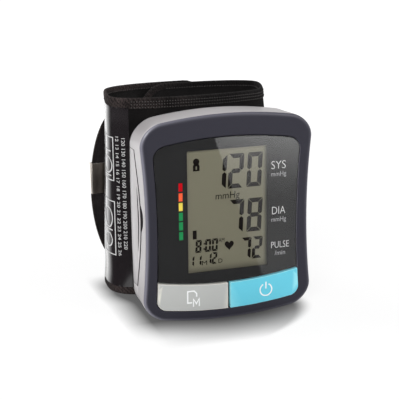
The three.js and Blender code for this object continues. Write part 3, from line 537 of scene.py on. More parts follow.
def bezel_paint():
    """Blue-grey paint with a clear coat where it rounds over the rim and faces left, and a painted highlight
    there: a paler colour on the same faces.
    """
    material, tree, shader = base("Bezel", 0.45, Specular_IOR_Level=0.12, Coat_Roughness=0.2)
    texture = placed(tree, GRAIN, Size=0.25).outputs
    colour = shade(tree, (0.034, 0.033, 0.0445), (0.038, 0.037, 0.0495), texture["Mottle"])
    rim = ranged(tree, split(tree, object_place(tree))[1], -0.01299, -0.01262, eased=True)
    highlight_towards_left = ranged(tree, facing(tree)[0], 0.15, -0.4, start=0.28, eased=True)
    rim = sums(tree, "MULTIPLY", rim, highlight_towards_left)
    # Painted highlight: the rim is painted paler where it faces left.
    colour = blended(tree, colour, (0.23, 0.225, 0.275), rim)
    coated(tree, shader, colour, ranged(tree, texture["Mottle"], 0.0, 1.0, 0.38, 0.5))
    tree.links.new(rim, shader.inputs["Coat Weight"])
    bumped(tree, shader, texture["Height"], 0.003)
    return material


def cloth(name, low, high, across, along, depth, slant=0.0, left_light_colour=None, **sockets):
    """Woven or knitted cloth on the piece's own map; where a second colour is given, painted light makes it
    lighter towards the cuff's left end.
    """
    material, tree, shader = base(name, 0.95, **sockets)
    weave = placed(tree, WEAVE, Across=across, Along=along, Slant=slant).outputs
    mottle = placed(tree, GRAIN, Size=0.4, Mottle_size=9.0).outputs["Mottle"]
    strong = ranged(tree, sums(tree, "MULTIPLY", weave["Thread"], mottle), 0.1, 0.45)
    colour = shade(tree, low, high, strong)
    if left_light_colour:
        # Painted light: lighter towards the cuff's left end.
        left_end_share = ranged(tree, split(tree, object_place(tree))[0], 0.0, -0.036)
        colour = blended(tree, colour, left_light_colour, sums(tree, "MULTIPLY", left_end_share, strong))
    colour = blended(tree, colour, DUST_ON_CLOTH, placed(tree, DUST, Amount=0.08).outputs["Dusty"])
    coated(tree, shader, colour)
    bumped(tree, shader, weave["Height"], depth)
    return material


def metal(name, low, high, roughness, stretch=(1, 1, 12), depth=0.004):
    """Metal with fine brush lines along one axis."""
    material, tree, shader = base(name, roughness, Metallic=1.0)
    scale = tuple(900.0 * s for s in stretch)
    drawn = node(tree, "ShaderNodeMapping", {"Vector": object_place(tree), "Scale": scale})
    lines = node(tree, "ShaderNodeTexNoise", {"Vector": drawn.outputs[0], "Scale": 1.0, "Detail": 3.0})
    coated(tree, shader, shade(tree, low, high, lines.outputs[0]))
    bumped(tree, shader, lines.outputs[0], depth)
    return material


def glass_pane():
    """Clear window that lets the lamps through to the display behind it."""
    material, tree, shader = base("Window glass", 0.0, IOR=1.45, Transmission_Weight=1.0)
    shader.inputs["Base Color"].default_value = (0.93, 0.93, 0.93, 1)
    clear = node(tree, "ShaderNodeBsdfTransparent", {"Color": (0.93, 0.93, 0.93, 1)})
    light = node(tree, "ShaderNodeLightPath")
    passing = sums(tree, "MAXIMUM", light.outputs["Is Shadow Ray"], light.outputs["Is Diffuse Ray"])
    mix = node(tree, "ShaderNodeMixShader", {0: passing, 1: shader.outputs[0], 2: clear.outputs[0]})
    tree.links.new(mix.outputs[0], tree.nodes["Material Output"].inputs["Surface"])
    return material


def display_face():
    """Grey-green display, with a lit rim at its top and left, shaded at its right and foot."""
    material, tree, shader = base("Display face", 0.5, Specular_IOR_Level=0.1)
    x, _, z = split(tree, object_place(tree))
    mottle = placed(tree, GRAIN, Mottle_size=30.0).outputs["Mottle"]
    colour = shade(tree, (0.208, 0.198, 0.140), (0.228, 0.218, 0.156), mottle)
    lit = (0.38, 0.36, 0.28)
    for value, start, end, tint, amount in (
            (x, 0.0145, 0.0166, (0.05, 0.052, 0.048), 0.85), (z, 0.0228, 0.0196, (0.095, 0.09, 0.066), 0.7),
            (x, -0.0160, -0.0165, lit, 0.7), (z, 0.0677, 0.0683, lit, 0.6)):
        colour = blended(tree, colour, tint, ranged(tree, value, start, end, 0.0, amount, eased=True))
    coated(tree, shader, colour)
    return material


def vinyl():
    """Glossy black vinyl with soft dents."""
    material, tree, shader = base("Cuff vinyl", 0.2, Specular_IOR_Level=0.5, Coat_Weight=0.8,
                                  Coat_Roughness=0.2)
    texture = placed(tree, GRAIN, Size=1.6, Mottle_size=14.0).outputs
    colour = shade(tree, (0.010, 0.0075, 0.009), (0.020, 0.0155, 0.018), texture["Mottle"])
    coated(tree, shader, colour, ranged(tree, texture["Mottle"], 0.0, 1.0, 0.14, 0.24))
    bumped(tree, shader, texture["Height"], 0.006)
    return material


BEZEL = bezel_paint()
SHELL = plastic("Silver shell", (0.42, 0.40, 0.407), (0.46, 0.437, 0.447), 0.34, depth=0.003,
                wear_and_highlight_colour=(0.64, 0.61, 0.62), Metallic=0.06, Specular_IOR_Level=0.3)
# Dark plastic for the cut faces round the battery cover: painted shade in the seam.
SEAM_SHADE = plastic("Painted seam shade", (0.030, 0.027, 0.029), (0.045, 0.040, 0.043), 0.6, dust=0,
               Specular_IOR_Level=0.1)
# The grey key's paler edge colour is a painted highlight on its convex edges.
KEY_GREY = plastic("Grey key", (0.49, 0.50, 0.485), (0.52, 0.53, 0.515), 0.45, depth=0.004,
                   wear_and_highlight_colour=(0.95, 0.91, 0.80), edge=(0.504, 0.53), Specular_IOR_Level=0.3)
# Paler edge materials for the keys' rounded edges, on faces that don't face the right: painted highlights.
KEY_GREY_EDGE_HIGHLIGHT = plastic("Grey key painted edge highlight", (0.74, 0.72, 0.67), (0.80, 0.78, 0.73), 0.4, depth=0, dust=0)
KEY_BLUE_EDGE_HIGHLIGHT = plastic("Blue key painted edge highlight", (0.34, 0.82, 0.92), (0.40, 0.86, 0.95), 0.4, depth=0, dust=0)
# The blue key's paler edge colour is a painted highlight on its convex edges.
KEY_BLUE = plastic("Blue key", (0.138, 0.625, 0.795), (0.158, 0.66, 0.83), 0.42, depth=0.004,
                   wear_and_highlight_colour=(0.42, 0.93, 1.0), edge=(0.504, 0.53), Specular_IOR_Level=0.3)
MASK = printed("Window print", (0.0275, 0.0275, 0.028), (0.0305, 0.0305, 0.031))
BLACK = plastic("Black plastic", (0.014, 0.014, 0.016), (0.022, 0.022, 0.024), 0.5, dust=0,
                Specular_IOR_Level=0.3)
WHITE = plastic("White plastic", (0.6, 0.6, 0.57), (0.68, 0.68, 0.65), 0.45)
BOARD = plastic("Circuit board", (0.012, 0.075, 0.035), (0.02, 0.11, 0.05), 0.4)
SILICONE = plastic("Silicone", (0.5, 0.48, 0.43), (0.6, 0.58, 0.52), 0.5, dust=0, Subsurface_Weight=0.2)
SLEEVE = plastic("Battery sleeve", (0.05, 0.055, 0.065), (0.07, 0.075, 0.085), 0.3, Metallic=0.3)
STEEL = metal("Zinc-plated steel", (0.42, 0.42, 0.42), (0.6, 0.6, 0.59), 0.35)
CONTACT = metal("Spring contact", (0.55, 0.54, 0.5), (0.72, 0.71, 0.66), 0.28)
NICKEL = metal("Polished nickel", (0.50, 0.44, 0.385), (0.60, 0.53, 0.46), 0.28, stretch=(1, 1, 0.1),
               depth=0.0006)
# Paler nickel for the clip's faces that look left or up: a painted highlight.
NICKEL_HIGHLIGHT = metal("Nickel painted highlight", (0.86, 0.80, 0.74), (0.92, 0.87, 0.81), 0.5, stretch=(1, 1, 0.1),
                    depth=0.0006)
GLASS = glass_pane()
DISPLAY = display_face()
VINYL = vinyl()
INK = printed("Display ink", (0.010, 0.008, 0.0075), (0.014, 0.011, 0.010))
THIN_INK = printed("Fine display ink", (0.010, 0.009, 0.008), (0.014, 0.012, 0.010))
PRINT = printed("White print", (0.66, 0.66, 0.66), (0.74, 0.74, 0.74))
PALE_PRINT = printed("Grey print", (0.36, 0.36, 0.37), (0.44, 0.44, 0.45))
KEY_PRINT = printed("Key print", (0.88, 0.90, 0.91), (0.96, 0.97, 0.97))
LOOP_CLOTH = cloth("Cuff cloth", (0.005, 0.0045, 0.0046), (0.019, 0.0165, 0.0165), 240.0, 90.0, depth=0.2,
                   Sheen_Weight=0.03, Sheen_Roughness=0.5, Specular_IOR_Level=0.1)
LINING = cloth("Cuff lining", (0.006, 0.0055, 0.0055), (0.020, 0.0185, 0.0185), 300.0, 110.0, depth=0.1,
               Sheen_Weight=0.03, Sheen_Roughness=0.5, Specular_IOR_Level=0.1)
# The binding tape is given a lighter colour towards the cuff's left end: painted light.
TAPE = cloth("Binding tape", (0.004, 0.0037, 0.0037), (0.017, 0.0154, 0.0154), 5.0, 405.0, depth=0.25,
             slant=0.35, left_light_colour=(0.085, 0.064, 0.062), Sheen_Weight=0.03, Sheen_Roughness=0.5,
             Specular_IOR_Level=0.1)
STRAP_CLOTH = cloth("Strap cloth", (0.012, 0.010, 0.0105), (0.040, 0.034, 0.035), 240.0, 90.0, depth=0.2,
                    Sheen_Weight=0.05, Sheen_Roughness=0.5, Specular_IOR_Level=0.1)
THREAD = plastic("Stitch thread", (0.06, 0.056, 0.054), (0.12, 0.112, 0.11), 0.8, dust=0,
                 Specular_IOR_Level=0.2)
HOOKS = plastic("Hook tape", (0.008, 0.008, 0.008), (0.02, 0.019, 0.018), 0.8, grain=0.7, depth=0.3, dust=0,
                Specular_IOR_Level=0.2)

SLOT_MATERIALS = {
    "bezel": BEZEL, "lens": GLASS, "lcd": DISPLAY, "black_plastic": BLACK, "white_plastic": WHITE,
    "silicone": SILICONE, "board": BOARD, "key_grey": KEY_GREY, "key_blue": KEY_BLUE, "shell": SHELL,
    "cell": SLEEVE, "contact": CONTACT, "steel": STEEL, "cuff_cloth": LOOP_CLOTH, "lining_cloth": LINING,
    "bladder": SILICONE, "binding": TAPE, "vinyl": VINYL, "hook_tape": HOOKS, "nickel": NICKEL,
}


def dress_frame():
    """Each node of the frame takes the material of its slot."""
    for subpart in frame["record"]["subparts"]:
        piece = nodes[subpart["node"]]
        piece.data.materials.clear()
        piece.data.materials.append(SLOT_MATERIALS[subpart["material_slot"]])


# Monitor
def above_divide(shift, up=True):
    """The side of the window above or below the arched line over the keys."""
    far = 90.0 if up else -10.0
    half_width, front, depth = 36.0, -16.0, 8.0

    def place(u, v):
        x = -half_width + 2 * half_width * u
        line = DIVIDE_HEIGHT + shift + DIVIDE_LIFT * (x / DIVIDE_HALF) ** 2
        return Vector((x, front, line + (far - line) * v))
    bm = sheet(48, 1, place)
    drawn_out(bm, bm.faces[:], (0, depth, 0))
    bmesh.ops.recalc_face_normals(bm, faces=bm.faces)
    return bm


def make_front_frame():
    """Bezel with its rounded rim, the window's wall, the seat behind it and the lip that enters the shell."""
    round_depth, round_inset, round_steps = 0.95, 2.2, 10
    lip_back, lip_outside, lip_inside = -9.05, 2.1, 3.5
    seat_front, seat_back = -10.4, -9.3
    rings = [flat_ring(inset(CASE, amount), y) for amount, y in (
        (lip_inside, lip_back), (lip_outside, lip_back), (lip_outside, BEZEL_SEAM), (0.1, BEZEL_SEAM))]
    for i in range(round_steps + 1):
        turn = math.pi / 2 * i / round_steps
        amount = round_inset * (1 - math.cos(turn))
        rings.append(flat_ring(inset(CASE, amount), BEZEL_SEAM - round_depth * math.sin(turn)))
    rings += [flat_ring(inset(CASE, amount), CASE_FRONT) for amount in (round_inset + 0.15, 2.65)]
    rings += [flat_ring(inset(WINDOW, amount), y) for amount, y in (
        (-0.95, CASE_FRONT), (-0.45, CASE_FRONT), (-0.25, CASE_FRONT), (-0.11, CASE_FRONT + 0.04),
        (-0.03, CASE_FRONT + 0.13), (0, CASE_FRONT + 0.3), (0, CASE_FRONT + 0.5), (0, seat_front))]
    rings += [flat_ring(WEB_HOLE, seat_front), flat_ring(WEB_HOLE, seat_back),
              flat_ring(inset(CASE, 3.6), seat_back)]
    bm = loft(rings, OUTLINE_STEPS, closed=True)
    for vert in bm.verts:
        vert.co.z = max(vert.co.z, 0)
    finished(as_object("front_frame", bm), [BEZEL], replaces=["front_housing"], angle=50)


def window_plate(front, back, amount):
    """A plate with the window's outline, drawn in by an amount, between two depths."""
    form = inset(WINDOW, amount)
    return loft([flat_ring(form, front), flat_ring(form, back)], OUTLINE_STEPS)


def make_window():
    pane = as_object("window_pane", window_plate(CASE_FRONT + 0.08, LENS_BACK, 0.3))
    carve(pane, "INTERSECT", above_divide(0.3))
    soften(pane, 0.08)
    hold_flats(pane, 0.15)
    finished(pane, [GLASS], replaces=["display_lens"])
    border, front, back = inset(WINDOW, 0.35), LENS_BACK + 0.03, LENS_BACK + 0.25
    rings = [flat_ring(border, front), flat_ring(border, back), flat_ring(DISPLAY_HOLE, back),
             flat_ring(DISPLAY_HOLE, front)]
    mask = as_object("window_mask", loft(rings, OUTLINE_STEPS, closed=True))
    carve(mask, "INTERSECT", above_divide(0.35))
    finished(mask, [MASK])


def brighten_rim(key):
    """The key's rounded edge, where it doesn't face the right, takes the paler edge material: a painted
    highlight.
    """
    for face in key.data.polygons:
        if -0.985 < face.normal.y < -0.15 and face.normal.x < 0.4:
            face.material_index = 1


def make_key(name, side, material, rim, node_name):
    key = as_object(name, window_plate(KEY_FRONT, KEY_BACK, 0.3))
    near, far = 0.5 * side, 36.0 * side
    half = block(min(near, far), max(near, far), -16, -8, -2, 40)
    carve(key, "INTERSECT", above_divide(-0.25, up=False), half)
    soften(key, 0.42, segments=4)
    hold_flats(key, 0.15)
    # Paler edge material on the rounded edge: a painted highlight.
    brighten_rim(key)
    stem = as_object("stem", rod("Y", (15.0 * side, 0, 10.6), 1.5, KEY_BACK - 0.3, -10.4))
    join_into(key, [stem])
    finished(key, [material, rim], body=node_name.replace("button", "key"), replaces=[node_name])


def join_into(piece, others):
    """Adds the meshes of other objects to a piece."""
    bm = bmesh.new()
    bm.from_mesh(piece.data)
    for other in others:
        bm.from_mesh(other.data)
        bpy.data.meshes.remove(other.data)
    bm.to_mesh(piece.data)
    bm.free()


def shell_wall():
    """The shell as a bucket: its rounded back, its side, its front rim and its inside."""
    rings = [shell_ring(1.1, CASE_BACK), shell_ring(0.45, CASE_BACK - 0.12), shell_ring(0.12, CASE_BACK - 0.5)]
    stations = 26
    wall_back, wall_front = CASE_BACK - 1.0, SHELL_FRONT + 0.25
    for i in range(stations + 1):
        rings.append(shell_ring(0, wall_back + (wall_front - wall_back) * i / stations))
    rings += [shell_ring(0.08, SHELL_FRONT + 0.07), shell_ring(0.25, SHELL_FRONT),
              shell_ring(CASE_WALL, SHELL_FRONT), shell_ring(CASE_WALL, SIDE_END),
              shell_ring(CASE_WALL, 5.5), shell_ring(CASE_WALL, SHELL_INNER_BACK)]
    return loft(rings, OUTLINE_STEPS)


# Battery cover: its region in the left side, whose front edge bows forward
COVER_FRONT, COVER_BACK = -6.9, 8.5
COVER_LOW, COVER_HIGH = 14.1, 68.4
COVER_BOW = 4.2
COVER_INNER = -29.6
FAR_LEFT = -40
NAIL_RADIUS, NAIL_DEPTH, NAIL_HEIGHT = 8.6, 2.6, 42.3
SLIT_BOW = 1.0

# Holes in the shell's back, in X and Z
CASE_SCREWS = ((-24.5, 9.8), (24.5, 9.8), (-22, 69.4), (22, 69.4))
CUFF_POSTS = ((-5, 14), (-5, 69), (11.5, 14), (11.5, 69))
NIPPLE = (8, 50)


def bowed_block(front, back, bow, low, high, left, right):
    """A block between two heights whose front edge is an arc that bows forward."""
    middle, half = (low + high) / 2, (high - low) / 2

    def place(u, v):
        z = low + (high - low) * v
        start = front + bow * ((z - middle) / half) ** 2
        return Vector((left, start + (back(z) - start) * u, z))
    bm = sheet(1, 28, place)
    drawn_out(bm, bm.faces[:], (right - left, 0, 0))
    bmesh.ops.recalc_face_normals(bm, faces=bm.faces)
    return bm


def cover_block(seam, margin):
    return bowed_block(COVER_FRONT - seam, lambda z: COVER_BACK + margin, COVER_BOW,
                       COVER_LOW - margin, COVER_HIGH + margin, FAR_LEFT, COVER_INNER)


def slit_block():
    """The pull line in the cover, an arc beside its front edge, thinnest at its ends."""
    low, high, front, width, least = 28.4, 54.7, -5.7, 0.8, 0.02
    from_middle = lambda z: (z - (low + high) / 2) / (high - low) * 2
    arc = lambda z: front + SLIT_BOW * from_middle(z) ** 2
    taper = lambda z: width * (1 - from_middle(z) ** 4) + least
    return bowed_block(front, lambda z: arc(z) + taper(z), SLIT_BOW, low, high, FAR_LEFT, -33.2)


def darken_cuts(piece):
    """Cut faces round the battery cover take the dark material: painted shade in the seam."""
    for face in piece.data.polygons:
        at = face.center / MM
        beside = at.x < COVER_INNER and COVER_FRONT - 3.2 < at.y < COVER_BACK + 0.6
        if beside and COVER_LOW - 0.6 < at.z < COVER_HIGH + 0.6 and abs(face.normal.x) < 0.5:
            face.material_index = 1


def back_hole(place, radius):
    x, z = place
    return rod("Y", (x, 0, z), radius, 9.0, 13.0)


def make_shell():
    shell = as_object("rear_shell", shell_wall())
    nail = rod("X", (0, COVER_FRONT - NAIL_DEPTH + NAIL_RADIUS, NAIL_HEIGHT), NAIL_RADIUS, FAR_LEFT, -32.6,
               segments=96)
    holes = [back_hole(place, 2.2) for place in CASE_SCREWS] + [back_hole(place, 2.3) for place in CUFF_POSTS]
    carve(shell, "DIFFERENCE", cover_block(0.9, 0.25), nail, *holes, back_hole(NIPPLE, 1.8))
    soften(shell, 0.14, segments=2, angle=45)
    darken_cuts(shell)
    finished(shell, [SHELL, SEAM_SHADE], replaces=["rear_housing"], angle=35)


def make_battery_tray():
    bm = block(-30.9, -10.65, -3.55, 7.55, 16.2, 66.5)
    bmesh.ops.delete(bm, geom=[f for f in bm.faces if f.normal.x < -0.5], context="FACES")
    bmesh.ops.solidify(bm, geom=bm.faces[:], thickness=-1.1)
    tray = as_object("battery_tray", bm)
    soften(tray, 0.25)
    finished(tray, [SHELL])


def make_battery_cover():
    cover = as_object("battery_lid", shell_wall())
    carve(cover, "INTERSECT", cover_block(0, 0))
    carve(cover, "DIFFERENCE", slit_block())
    soften(cover, 0.14, segments=2, angle=45)
    darken_cuts(cover)
    finished(cover, [SHELL, SEAM_SHADE], body="battery_lid", replaces=["battery_cover"], angle=35)


def make_cell(name, x, nub_up, node_name):
    """A cell with its sleeve between two bare ends, and its nub up or down."""
    low, shoulder, high = 19.1, 62.6, 63.6
    bm = joined(rod("Z", (x, 2, 0), 5.2, low, shoulder), rod("Z", (x, 2, 0), 1.9, shoulder, high))
    sleeve_low, sleeve_high = 19.7, 61.8
    if not nub_up:
        for vert in bm.verts:
            vert.co.z = low + high - vert.co.z
        bmesh.ops.reverse_faces(bm, faces=bm.faces)
        sleeve_low, sleeve_high = 20.9, 63.0
    cell = as_object(name, bm)
    soften(cell, 0.4, segments=3, angle=60)
    for face in cell.data.polygons:
        face.material_index = 0 if sleeve_low * MM < face.center.z < sleeve_high * MM else 1
    finished(cell, [SLEEVE, STEEL], replaces=[node_name])


# Marks: digits, signs and scales
PRINT_THICKNESS = 0.04
DISPLAY_SLANT = 0.06

# Bars a to g: top, right high, right low, foot, left low, left high, middle
SEGMENTS = {"0": "abcdef", "1": "bc", "2": "abged", "7": "abc", "8": "abcdefg"}


def segment_bars(width, height, stroke):
    """Corners of each bar of a seven-bar digit, upright, from its bottom left."""
    cut = stroke * 0.05 + 0.055
    half = stroke / 2
    mid = height / 2
    top = [(cut, height), (width - cut, height), (width - stroke, height - stroke), (stroke, height - stroke)]
    foot = [(x, height - z) for x, z in reversed(top)]
    right = [(width, height - cut * 2), (width, mid + half), (width - half, mid + cut),
             (width - stroke, mid + half), (width - stroke, height - stroke - cut)]
    middle = [(half + cut * 1.6, mid), (stroke, mid + half), (width - stroke, mid + half),
              (width - half - cut * 1.6, mid), (width - stroke, mid - half), (stroke, mid - half)]
    mirror = lambda bar: [(width - x, z) for x, z in reversed(bar)]
    low = lambda bar: [(x, height - z) for x, z in reversed(bar)]
    return {"a": top, "b": right, "c": low(right), "d": foot, "e": low(mirror(right)), "f": mirror(right),
            "g": middle}


def flat_shape(bm, corners, y):
    """A thin plate through corners in X and Z, with its face at depth y."""
    face = bm.faces.new([bm.verts.new((x, y, z)) for x, z in corners])
    drawn_out(bm, [face], (0, PRINT_THICKNESS, 0))


def digits(bm, text, right, low, width, height, stroke, pitches, y):
    """Seven-bar digits set from the right, with one pitch for each step to the left."""
    bars = segment_bars(width, height, stroke)
    x = right - width
    for i, sign in enumerate(reversed(text)):
        for bar in SEGMENTS[sign]:
            flat_shape(bm, [(x + px + DISPLAY_SLANT * (pz - height), low + pz) for px, pz in bars[bar]], y)
        if i < len(pitches):
            x -= pitches[i]


def circle_corners(x, z, radius, count=28, start=0.0, end=math.tau):
    whole = abs(end - start - math.tau) < 1e-6
    steps = count if whole else count - 1
    return [(x + radius * math.cos(start + (end - start) * i / steps),
             z + radius * math.sin(start + (end - start) * i / steps)) for i in range(count)]


def heart_corners(x, z, size):
    corners, count = [], 40
    for i in range(count):
        turn = math.tau * i / count
        across = 16 * math.sin(turn) ** 3
        up = 13 * math.cos(turn) - 5 * math.cos(2 * turn) - 2 * math.cos(3 * turn) - math.cos(4 * turn)
        corners.append((x + across * size / 32, z + up * size / 29))
    return corners


def lettering(text, x, z, height, width, y, slant=0.0, weight=0.0):
    """Plain lettering as a thin bmesh: left end at x, foot at z, with its cap height, width and weight."""
    curve = bpy.data.curves.new("letters", "FONT")
    curve.body = text
    curve.offset = weight
    curve.resolution_u = 3
    holder = bpy.data.objects.new("letters", curve)
    scene.collection.objects.link(holder)
    bpy.context.view_layer.update()
    mesh = bpy.data.meshes.new_from_object(holder.evaluated_get(bpy.context.evaluated_depsgraph_get()))
    bpy.data.objects.remove(holder)
    bpy.data.curves.remove(curve)
    bm = bmesh.new()
    bm.from_mesh(mesh)
    bpy.data.meshes.remove(mesh)
    low_x, high_x = min(v.co.x for v in bm.verts), max(v.co.x for v in bm.verts)
    cap = 0.729
    for vert in bm.verts:
        up = vert.co.y / cap * height
        across = (vert.co.x - low_x) / (high_x - low_x) * width
        vert.co = (x + across + slant * up, y, z + up)
    bmesh.ops.remove_doubles(bm, verts=bm.verts, dist=0.0005)
    return plates(bm, PRINT_THICKNESS)


def make_display_marks():
    y = LCD_FRONT - 0.05
    bm = bmesh.new()
    for text, right, low, width, height, stroke, pitches in (
            ("120", 14.75, 52.15, 6.15, 13.65, 1.75, (7.7, 6.95)),
            ("78", 14.75, 34.0, 6.15, 13.5, 1.75, (7.7,)),
            ("72", 14.75, 22.75, 4.15, 9.0, 1.3, (4.7,)),
            ("8", -10.65, 27.6, 2.45, 5.1, 0.85, ()),
            ("00", -3.95, 27.6, 2.45, 5.1, 0.85, (2.8,)),
            ("1", -13.75, 22.2, 1.9, 4.4, 0.75, ()),
            ("1", -10.75, 22.2, 1.9, 4.4, 0.75, ()),
            ("12", -4.3, 22.4, 2.1, 4.7, 0.75, (2.3,))):
        digits(bm, text, right, low, width, height, stroke, pitches, y)
    for x, z in ((-9.75, 28.9), (-9.65, 31.0)):
        flat_shape(bm, circle_corners(x, z, 0.34, 12), y)
    flat_shape(bm, heart_corners(0.65, 29.45, 3.8), y)
    flat_shape(bm, [(-14.35, 33.2), (-12.75, 33.2), (-12.75, 36.7), (-14.35, 36.7)], y)
    flat_shape(bm, circle_corners(-12.6, 63.85, 1.3), y)
    body = [(-13.9, 60.2), (-11.3, 60.2), (-11.25, 62.2), (-11.65, 62.9), (-13.55, 62.9), (-13.95, 62.2)]
    flat_shape(bm, body, y)
    flat_shape(bm, [(-13.0, 62.5), (-12.2, 62.5), (-12.2, 63.2), (-13.0, 63.2)], y)
    bmesh.ops.recalc_face_normals(bm, faces=bm.faces)
    finished(as_object("display_marks", bm), [INK])
    words = [lettering("mmHg", -4.9, 48.3, 2.9, 9.9, y, slant=DISPLAY_SLANT),
             lettering("M", -10.7, 22.3, 1.9, 2.1, y), lettering("D", -3.9, 22.5, 1.9, 1.7, y),
             lettering("AM", -3.8, 31.0, 1.7, 2.4, y, slant=DISPLAY_SLANT)]
    finished(as_object("display_words", joined(*words)), [THIN_INK])
    one = lettering("1", -12.85, 60.8, 1.35, 0.5, y - 0.03)
    finished(as_object("display_user_number", one), [DISPLAY])


LEVELS = ((53.0, (0.55, 0.006, 0.012)), (49.1, (0.95, 0.13, 0.05)), (45.3, (0.85, 0.68, 0.10)),
          (41.4, (0.02, 0.27, 0.085)), (37.6, (0.02, 0.27, 0.085)), (33.7, (0.02, 0.27, 0.085)))


def make_window_print():
    y = LENS_BACK - 0.02
    fine = -0.012
    words = [lettering("SYS", 18.0, 58.5, 3.4, 6.1, y, weight=fine),
             lettering("DIA", 18.4, 40.2, 3.3, 5.6, y, weight=fine),
             lettering("PULSE", 18.1, 26.3, 2.85, 7.6, y, weight=fine)]
    units = [lettering("mmHg", 18.0, 55.6, 2.0, 6.3, y), lettering("mmHg", 18.1, 37.2, 2.0, 6.3, y),
             lettering("/min", 19.6, 23.3, 2.0, 4.5, y)]
    finished(as_object("window_words", joined(*words)), [PRINT])
    finished(as_object("window_units", joined(*units)), [PALE_PRINT])
    bars = bmesh.new()
    materials = []
    for i, (low, colour) in enumerate(LEVELS):
        before = len(bars.faces)
        flat_shape(bars, [(-20.05, low), (-18.5, low), (-18.5, low + 3.2), (-20.05, low + 3.2)], y)
        bars.faces.ensure_lookup_table()
        for face in bars.faces[before:]:
            face.material_index = i
        pale = tuple(min(c * 1.12, 1) for c in colour)
        materials.append(printed(f"Level print {i + 1}", colour, pale))
    bmesh.ops.recalc_face_normals(bars, faces=bars.faces)
    finished(as_object("window_level_bar", bars), materials)


def stroke_path(bm, points, width, y):
    """A line of constant width through points, as plates that meet in their mitres."""
    inner, outer = [], []
    for i, point in enumerate(points):
        here = Vector(point)
        before = (here - Vector(points[i - 1])).normalized() if i else None
        after = (Vector(points[i + 1]) - here).normalized() if i + 1 < len(points) else None
        along = ((before or after) + (after or before)).normalized()
        side = Vector((-along.y, along.x)) * width / 2 / max(along.dot(before or after), 0.5)
        inner.append(here - side)
        outer.append(here + side)
    for i in range(len(points) - 1):
        corners = (inner[i], inner[i + 1], outer[i + 1], outer[i])
        bm.faces.new([bm.verts.new((corner.x, y, corner.y)) for corner in corners])
    bmesh.ops.remove_doubles(bm, verts=bm.verts, dist=0.001)


def plates(bm, thickness=0.06):
    """Flat faces made plates, which keep their front and grow backwards."""
    drawn_out(bm, bm.faces[:], (0, thickness, 0))
    bmesh.ops.recalc_face_normals(bm, faces=bm.faces)
    return bm


def make_key_signs():
    """A page with a letter on the grey key, and a power sign on the blue one."""
    y = KEY_FRONT - 0.03
    page, letter, ring, bar = (bmesh.new() for _ in range(4))
    corners = [(-15.5, 8.05), (-17.3, 8.05), (-17.3, 12.75), (-14.6, 12.75), (-13.6, 11.6), (-13.6, 10.3)]
    stroke_path(page, corners, 0.55, y)
    stroke_path(letter, [(-14.95, 6.3), (-14.95, 9.45), (-13.75, 7.4), (-12.55, 9.45), (-12.55, 6.3)], 0.5, y)
    sign = joined(plates(page), plates(letter))
    finished(as_object("memory_sign", sign), [KEY_PRINT], body="memory_key")
    start, end = math.pi / 2 + math.radians(28), math.pi / 2 + math.tau - math.radians(28)
    stroke_path(ring, circle_corners(15.55, 9.7, 2.5, 48, start, end), 0.5, y)
    stroke_path(bar, [(15.55, 10.1), (15.55, 12.95)], 0.55, y)
    sign = joined(plates(ring), plates(bar))
    finished(as_object("power_sign", sign), [KEY_PRINT], body="power_key")


# Cuff
def loop_point(angle, inwards):
    """A point of the loop seen from above, at an angle and a depth inwards from the outside."""
    turn = math.radians(angle)
    spread = lambda value: math.copysign(abs(value) ** (2 / LOOP_POWER), value)
    x, y = LOOP_HALF_WIDTH * spread(math.cos(turn)), LOOP_HALF_DEPTH * spread(math.sin(turn))
    slope = lambda value, half: math.copysign(abs(value / half) ** (LOOP_POWER - 1), value) / half
    normal = Vector((slope(x, LOOP_HALF_WIDTH), slope(y, LOOP_HALF_DEPTH))).normalized()
    return Vector((LOOP_X + x, LOOP_Y + y)) - normal * inwards


def drift(angle):
    return LAYER_STEP * smooth(DRIFT_START, DRIFT_END, angle)


def lifted(x, y, z, leaning=1.0):
    """The cuff rises a little behind the monitor. Its left side leans in; its right side flares, and
    droops at the top."""
    behind = smooth(LIFT_START, LIFT_END, y)
    high = min(max((z - BAND_BOTTOM) / (BAND_TOP - BAND_BOTTOM), 0), 1)
    lean_in = (0.3 + 0.75 * smooth(0, 0.13, high) + 1.7 * smooth(0.15, 0.95, high)
               - 0.4 * smooth(0.93, 1.0, high))
    flare_out = 0.8 * (smooth(0.7, 0.88, high) - smooth(0.9, 1.0, high))
    left = max(LOOP_X - x, 0) / LOOP_HALF_WIDTH
    right = max(x - LOOP_X, 0) / LOOP_HALF_WIDTH
    aside = leaning * (behind * lean_in * left + flare_out * right)
    droop = 0.4 * smooth(0.6, 1.0, right) * smooth(0.8, 1.0, high) * leaning
    return Vector((x + aside, y, z + CUFF_LIFT * behind - droop))


def cuff_point(angle, height, depth):
    """A point of the cuff from its angle, height and depth inwards from the band's outside."""
    flat = loop_point(angle, drift(angle) + depth)
    return lifted(flat.x, flat.y, height)


class Path:
    """Angles along a layer of the cuff by their distance from its start."""

    def __init__(self, start, end, layer=drift):
        step = 0.5
        self.angles, self.lengths = [start], [0.0]
        before = loop_point(start, layer(start))
        while self.angles[-1] < end:
            angle = min(self.angles[-1] + step, end)
            here = loop_point(angle, layer(angle))
            self.angles.append(angle)
            self.lengths.append(self.lengths[-1] + (here - before).length)
            before = here
        self.length = self.lengths[-1]

    def angle(self, distance):
        distance = min(max(distance, 0), self.length)
        low, high = 0, len(self.lengths) - 1
        while high - low > 1:
            middle = (low + high) // 2
            low, high = (middle, high) if self.lengths[middle] <= distance else (low, middle)
        span = self.lengths[high] - self.lengths[low]
        share = (distance - self.lengths[low]) / span if span else 0
        return self.angles[low] + (self.angles[high] - self.angles[low]) * share


